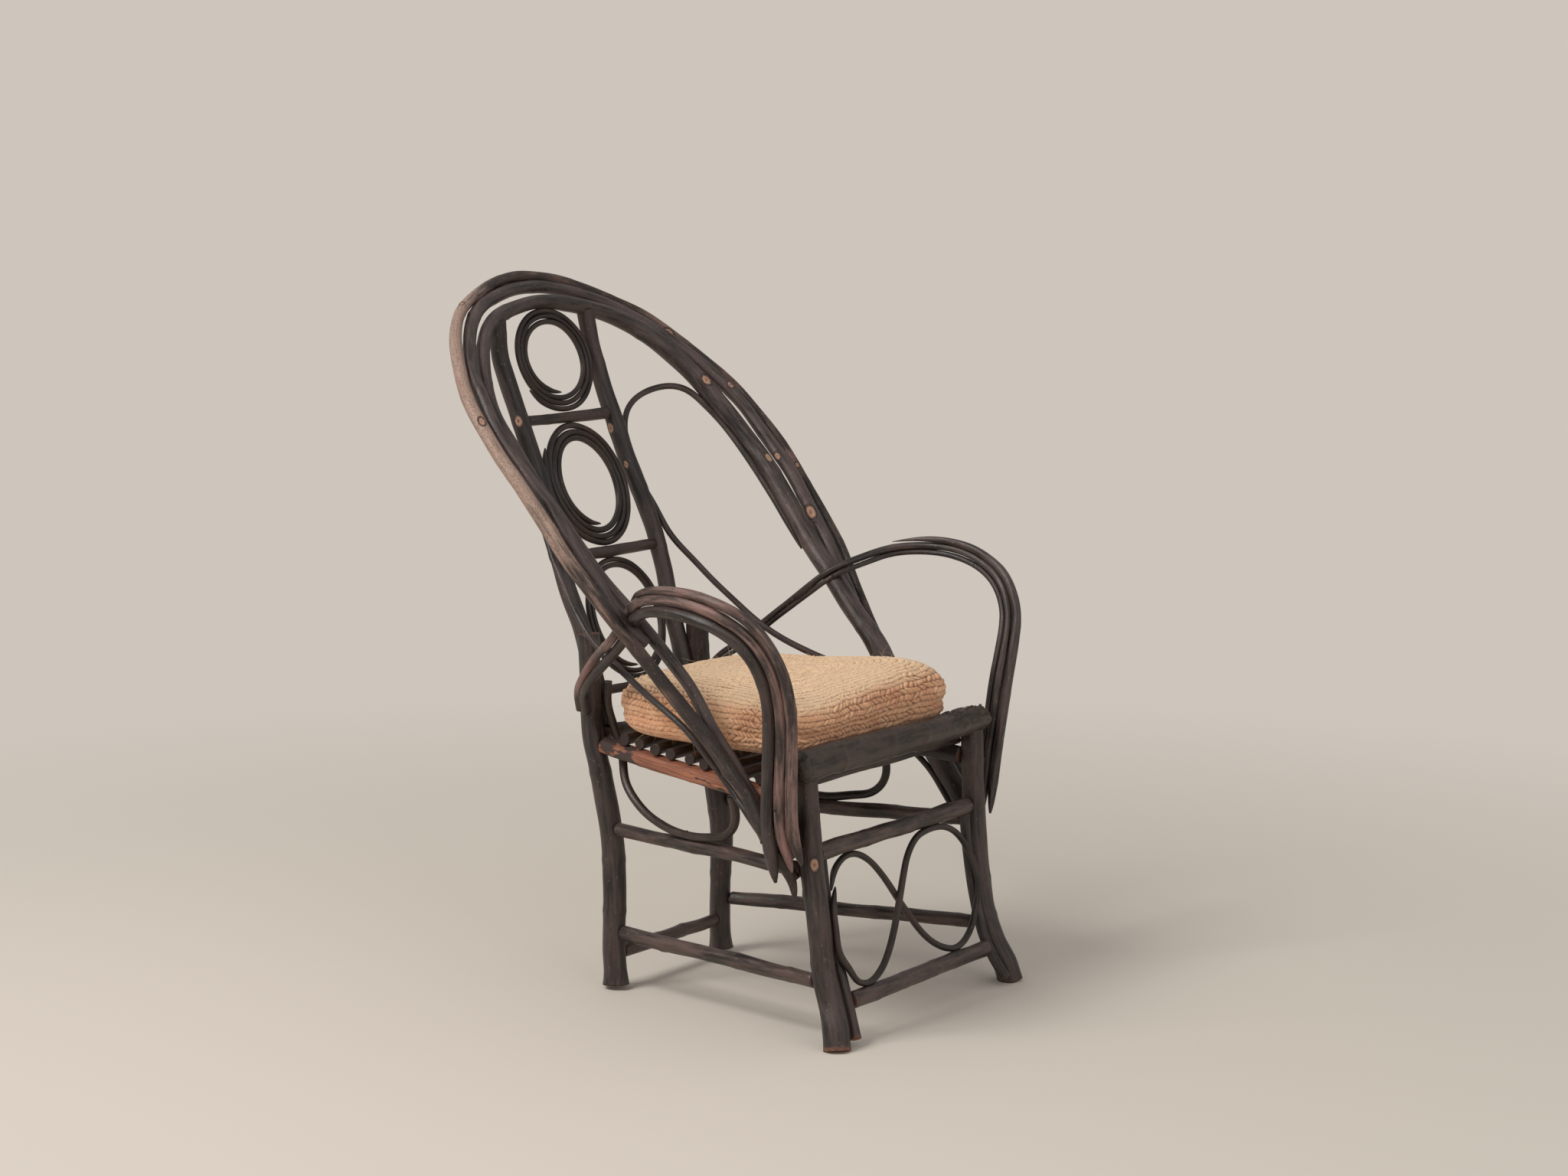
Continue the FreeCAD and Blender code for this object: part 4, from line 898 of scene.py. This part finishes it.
size = rng.uniform(0.35, 1.25, SIZES_DRAWN)[drawn]
back = np.sqrt(np.clip(1 - across**2, 0, 1))
knobs = np.interp(out[..., 2], FACING_FOR_KNOBS, KNOBS_BY_FACING)
knobs = knobs * (0.82 + 0.3 * np.sin(5 * angle[None] + run * 38 + 2 * np.sin(3 * angle)[None]))
coils = np.interp(out[..., 2], FACING_FOR_COILS, COILS_BY_FACING)
lift = KNOB_HEIGHT * knobs * lobe * size * (0.35 + 0.65 * back) + COIL_HEIGHT * coils * back
fade = np.clip((share[-1] - run) / 0.16, 0, 1) * np.clip(run / 0.01, 0, 1)
grid = grid + out * ((lift - SUNK * np.maximum(knobs, coils)) * fade)[..., None]
grid[..., 2] = np.maximum(grid[..., 2], low[2])
braid = np.stack([travel * KNOB_LENGTH, row * PLAIT_WIDTH, np.broadcast_to(jitter, row.shape)], -1)
pole_braid = np.array([[0, 0, 0.5], [0, share[-1], 0.5]])
# low in the grooves between the plait's rows and between its knobs: where the straw is painted
# darker as painted shade
crease_shade = back * (1 - knobs + knobs * lobe * (0.6 + 0.4 * size))
cushion = put_mesh("straw_cushion", with_poles(grid), tube_faces(ALONG, AROUND, mirrored=True), {
    "braid": np.vstack([braid.reshape(-1, 3), pole_braid]),
    "crease_shade": np.append(crease_shade.ravel(), [0.8, 0.8]),
    # how much each place faces up, for the top's paler colour: painted highlight, over straw worn
    # paler there
    "wear_and_highlight": np.append(np.clip(out[..., 2], 0, 1).ravel(), [1.0, 0.0]),
})

straw = bpy.data.materials.new("plaited_straw")
straw.use_nodes = True
tree = straw.node_tree
surface = tree.nodes["Principled BSDF"].inputs
crease_shade, wear_and_highlight = attribute(tree, "crease_shade"), attribute(tree, "wear_and_highlight")
place = shade(tree, "ShaderNodeTexCoord").outputs["Object"]
braid = squeezed(tree, attribute(tree, "braid", "Vector"), (0.22, 1.0, 1.0))
blades = clouds(tree, braid, 700, 3)
patchy = clouds(tree, place, 26, 4)
speck = clouds(tree, place, 240, 3, 0.7)
colour = blend(tree, remap(tree, patchy, 0.3, 0.7), srgb(220, 163, 125), srgb(238, 190, 150))
# the up-facing top is painted near-white: painted highlight, over straw worn paler there
colour = blend(tree, remap(tree, wear_and_highlight, 0.5, 0.98, 0.0, 0.7), colour, srgb(248, 220, 182))
colour = blend(tree, remap(tree, blades, 0.5, 0.72, 0.0, 0.4), colour, srgb(188, 134, 102))
# painted shade: the straw darkened in the grooves of the plait
colour = blend(tree, remap(tree, crease_shade, 0.62, 0.08, 0.0, 0.84), colour, srgb(136, 86, 62))
colour = blend(tree, remap(tree, speck, 0.6, 0.68, 0.0, 0.5), colour, srgb(144, 88, 64))
tree.links.new(colour, surface["Base Color"])
surface["Roughness"].default_value = 0.82
surface["Sheen Weight"].default_value = 0.15
fuzz = clouds(tree, place, 900, 3)
height = reckon(tree, "ADD", scaled(tree, blades, 0.8), scaled(tree, fuzz, 0.5))
relief = shade(tree, "ShaderNodeBump", {}, {"Height": height}, Strength=0.7, Distance=0.0012)
tree.links.new(relief.outputs["Normal"], surface["Normal"])
cushion.data.materials.append(straw)
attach(cushion, "root")
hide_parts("cushion")

# Stray straws: short dry fibres that stand out of the plait all over the sides and the edge,
# each a thin three-sided tube that leans out, curls down a little and narrows to its tip.
STRAWS = 260
STRAW_RINGS = 6
STRAW_RADIUS = 0.00022
rng = np.random.default_rng(23)
rows = rng.integers(int(ALONG * 0.3), int(ALONG * 0.68), STRAWS)
turns = rng.integers(0, AROUND, STRAWS)
root, away = grid[rows, turns], out[rows, turns]
lean = rng.normal(0, 0.55, (STRAWS, 3)) + away * rng.uniform(0.15, 0.8, (STRAWS, 1))
curl = rng.normal(0, 0.45, (STRAWS, 3)) - np.array([0, 0, 0.2])
length = rng.uniform(0.006, 0.019, (STRAWS, 1))
along = np.linspace(0, 1, STRAW_RINGS)[:, None]
line = root[:, None] + (length * lean)[:, None] * along + (length * curl)[:, None] * along**2
turn = np.array([0, 2 * np.pi / 3, 4 * np.pi / 3])
ring = np.stack([np.cos(turn), np.sin(turn), np.sin(turn + 1)], -1) * STRAW_RADIUS
straws = line[:, :, None] + ring * (1.1 - along)[:, None]


def open_tubes(count, rings, around):
    """Number the corners of many short tubes one after another, and join each one's rings."""
    corner = np.arange(count * rings * around).reshape(count, rings, around)
    ahead = np.roll(corner, -1, axis=2)
    quads = np.stack([corner[:, :-1], ahead[:, :-1], ahead[:, 1:], corner[:, 1:]], -1)
    return corner, quads.reshape(-1, 4).tolist()


def plain_finish(name, colour, roughness, metallic=0.0):
    """A material of one colour all over."""
    made = bpy.data.materials.new(name)
    made.use_nodes = True
    surface = made.node_tree.nodes["Principled BSDF"].inputs
    surface["Base Color"].default_value = colour
    surface["Roughness"].default_value = roughness
    surface["Metallic"].default_value = metallic
    return made


_, quads = open_tubes(STRAWS, STRAW_RINGS, len(turn))
tufts = put_mesh("straw_fibres", straws, quads)
tufts.data.materials.append(plain_finish("straw_fibre", srgb(226, 196, 150), 0.7))
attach(tufts, "root")

# Nails: a small dark iron head where one twig is nailed to another, on the outer side of the
# first twig of each pair, at the place where the two come nearest.
NAILED = (
    ("hoop_outer", "front_leg_right"), ("hoop_outer", "front_leg_left"),
    ("hoop_inner", "side_rail_right"), ("hoop_inner", "side_rail_left"),
    ("arm_middle_right", "front_leg_right"), ("arm_outer_right", "arm_middle_right"),
    ("arm_inner_right", "hoop_outer"), ("arm_middle_left", "front_leg_left"),
    ("arm_inner_left", "hoop_inner"), ("side_loop_left", "back_stile_left"),
    ("side_loop_right", "back_stile_right"), ("side_loop_right", "side_rail_right"),
    ("back_bar_upper", "back_stile_right"), ("seat_brace_right", "side_rung_upper_right"),
    ("hoop_middle", "hoop_inner"), ("leg_stick_right", "front_leg_right"),
)
# A nail's head is rings of corners: how far out, as a share of the twig's radius, and how wide.
HEAD_RINGS = ((0.985, 0.0021), (1.07, 0.0019), (1.085, 0.0012))
HEAD_SIDES = 12
CLEAR_OF_ENDS = 0.1
turn = np.linspace(0, 2 * np.pi, HEAD_SIDES, endpoint=False)[:, None]
caps = []
for thin, thick in NAILED:
    near, near_radii = bent[thin]
    near_line, near_at = smooth_line(near, 0.002, 0.01)
    base_line, _ = smooth_line(bent[thick][0], 0.002, 0.01)
    gap = np.linalg.norm(near_line[:, None] - base_line[None], axis=-1)
    gap[(near_at < CLEAR_OF_ENDS) | (near_at > near_at[-1] - CLEAR_OF_ENDS)] = np.inf
    first, second = np.unravel_index(gap.argmin(), gap.shape)
    radius = np.interp(near_at[first], lengths_along(near), near_radii)
    way = unit(near_line[first] - base_line[second])
    flat = unit(np.cross(way, (0.3, 0.5, 0.8)))
    other = np.cross(way, flat)
    for rise, wide in HEAD_RINGS:
        middle = near_line[first] + way * radius * rise
        caps.append(middle + wide * (np.cos(turn) * flat + np.sin(turn) * other))
corner, quads = open_tubes(len(NAILED), len(HEAD_RINGS), HEAD_SIDES)
nails = put_mesh("nails", np.vstack(caps), corner[:, -1].tolist() + quads)
nails.data.materials.append(plain_finish("nail_iron", srgb(52, 44, 40), 0.5, 0.8))
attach(nails, "root")

# Floor: a wide pale sheet that runs out of sight, lit softly from the upper left, with the
# chair's shadow on it. The far part takes the backdrop's own colour.
BACKDROP = srgb(206, 198, 188)
FLOOR_RADII = np.array([0.6, 2.0, 5.0, 12.0, 30.0])
FLOOR_SIDES = 96
rim = np.linspace(0, 2 * np.pi, FLOOR_SIDES, endpoint=False)
circle = np.stack([np.cos(rim), np.sin(rim), np.zeros(FLOOR_SIDES)], -1)
sheet = FLOOR_RADII[:, None, None] * circle
faces = tube_faces(len(sheet), FLOOR_SIDES, mirrored=True)[:-FLOOR_SIDES]
floor = put_mesh("floor", np.vstack([sheet.reshape(-1, 3), [[0, 0, 0]]]), faces)
paint = bpy.data.materials.new("floor_paint")
paint.use_nodes = True
tree = paint.node_tree
surface = tree.nodes["Principled BSDF"]
surface.inputs["Base Color"].default_value = srgb(223, 215, 205)
surface.inputs["Roughness"].default_value = 0.9
glow = shade(tree, "ShaderNodeEmission", {}, {"Color": BACKDROP, "Strength": 1.0})
far = distance(tree, shade(tree, "ShaderNodeTexCoord").outputs["Object"])
seen = shade(tree, "ShaderNodeLightPath").outputs["Is Camera Ray"]
share = scaled(tree, remap(tree, far, 0.7, 3.0), seen)
mixed = shade(tree, "ShaderNodeMixShader", {},
              {0: share, 1: surface.outputs[0], 2: glow.outputs[0]})
tree.links.new(mixed.outputs[0], tree.nodes["Material Output"].inputs["Surface"])
floor.data.materials.append(paint)

world = bpy.data.worlds.new("soft_room")
world.use_nodes = True
tree = world.node_tree
seen = shade(tree, "ShaderNodeLightPath").outputs["Is Camera Ray"]
room = tree.nodes["Background"]
room.inputs["Color"].default_value = (1.0, 0.97, 0.93, 1.0)
room.inputs["Strength"].default_value = 0.42
wall = shade(tree, "ShaderNodeBackground", {}, {"Color": BACKDROP, "Strength": 1.0})
mixed = shade(tree, "ShaderNodeMixShader", {}, {0: seen, 1: room.outputs[0], 2: wall.outputs[0]})
tree.links.new(mixed.outputs[0], tree.nodes["World Output"].inputs["Surface"])
scene.world = world


def lamp(name, place, aim, size, power, tint):
    """A square soft light at a place, turned to shine at a point."""
    light = bpy.data.lights.new(name, "AREA")
    light.size, light.energy, light.color = size, power, tint
    made = bpy.data.objects.new(name, light)
    made.location = place
    away = np.array(aim) - np.array(place)
    made.rotation_euler = (
        math.acos(-away[2] / np.linalg.norm(away)), 0, math.atan2(away[1], away[0]) - math.pi / 2,
    )
    scene.collection.objects.link(made)


SEAT_PLACE = (0, 0, 0.4)
lamp("window", (-3.6, 1.3, 4.4), SEAT_PLACE, 2.4, 178, (1.0, 0.96, 0.91))
lamp("fill", (-2.0, -5.4, 3.0), SEAT_PLACE, 3.6, 50, (1.0, 0.98, 0.96))
scene.view_settings.view_transform = "Standard"
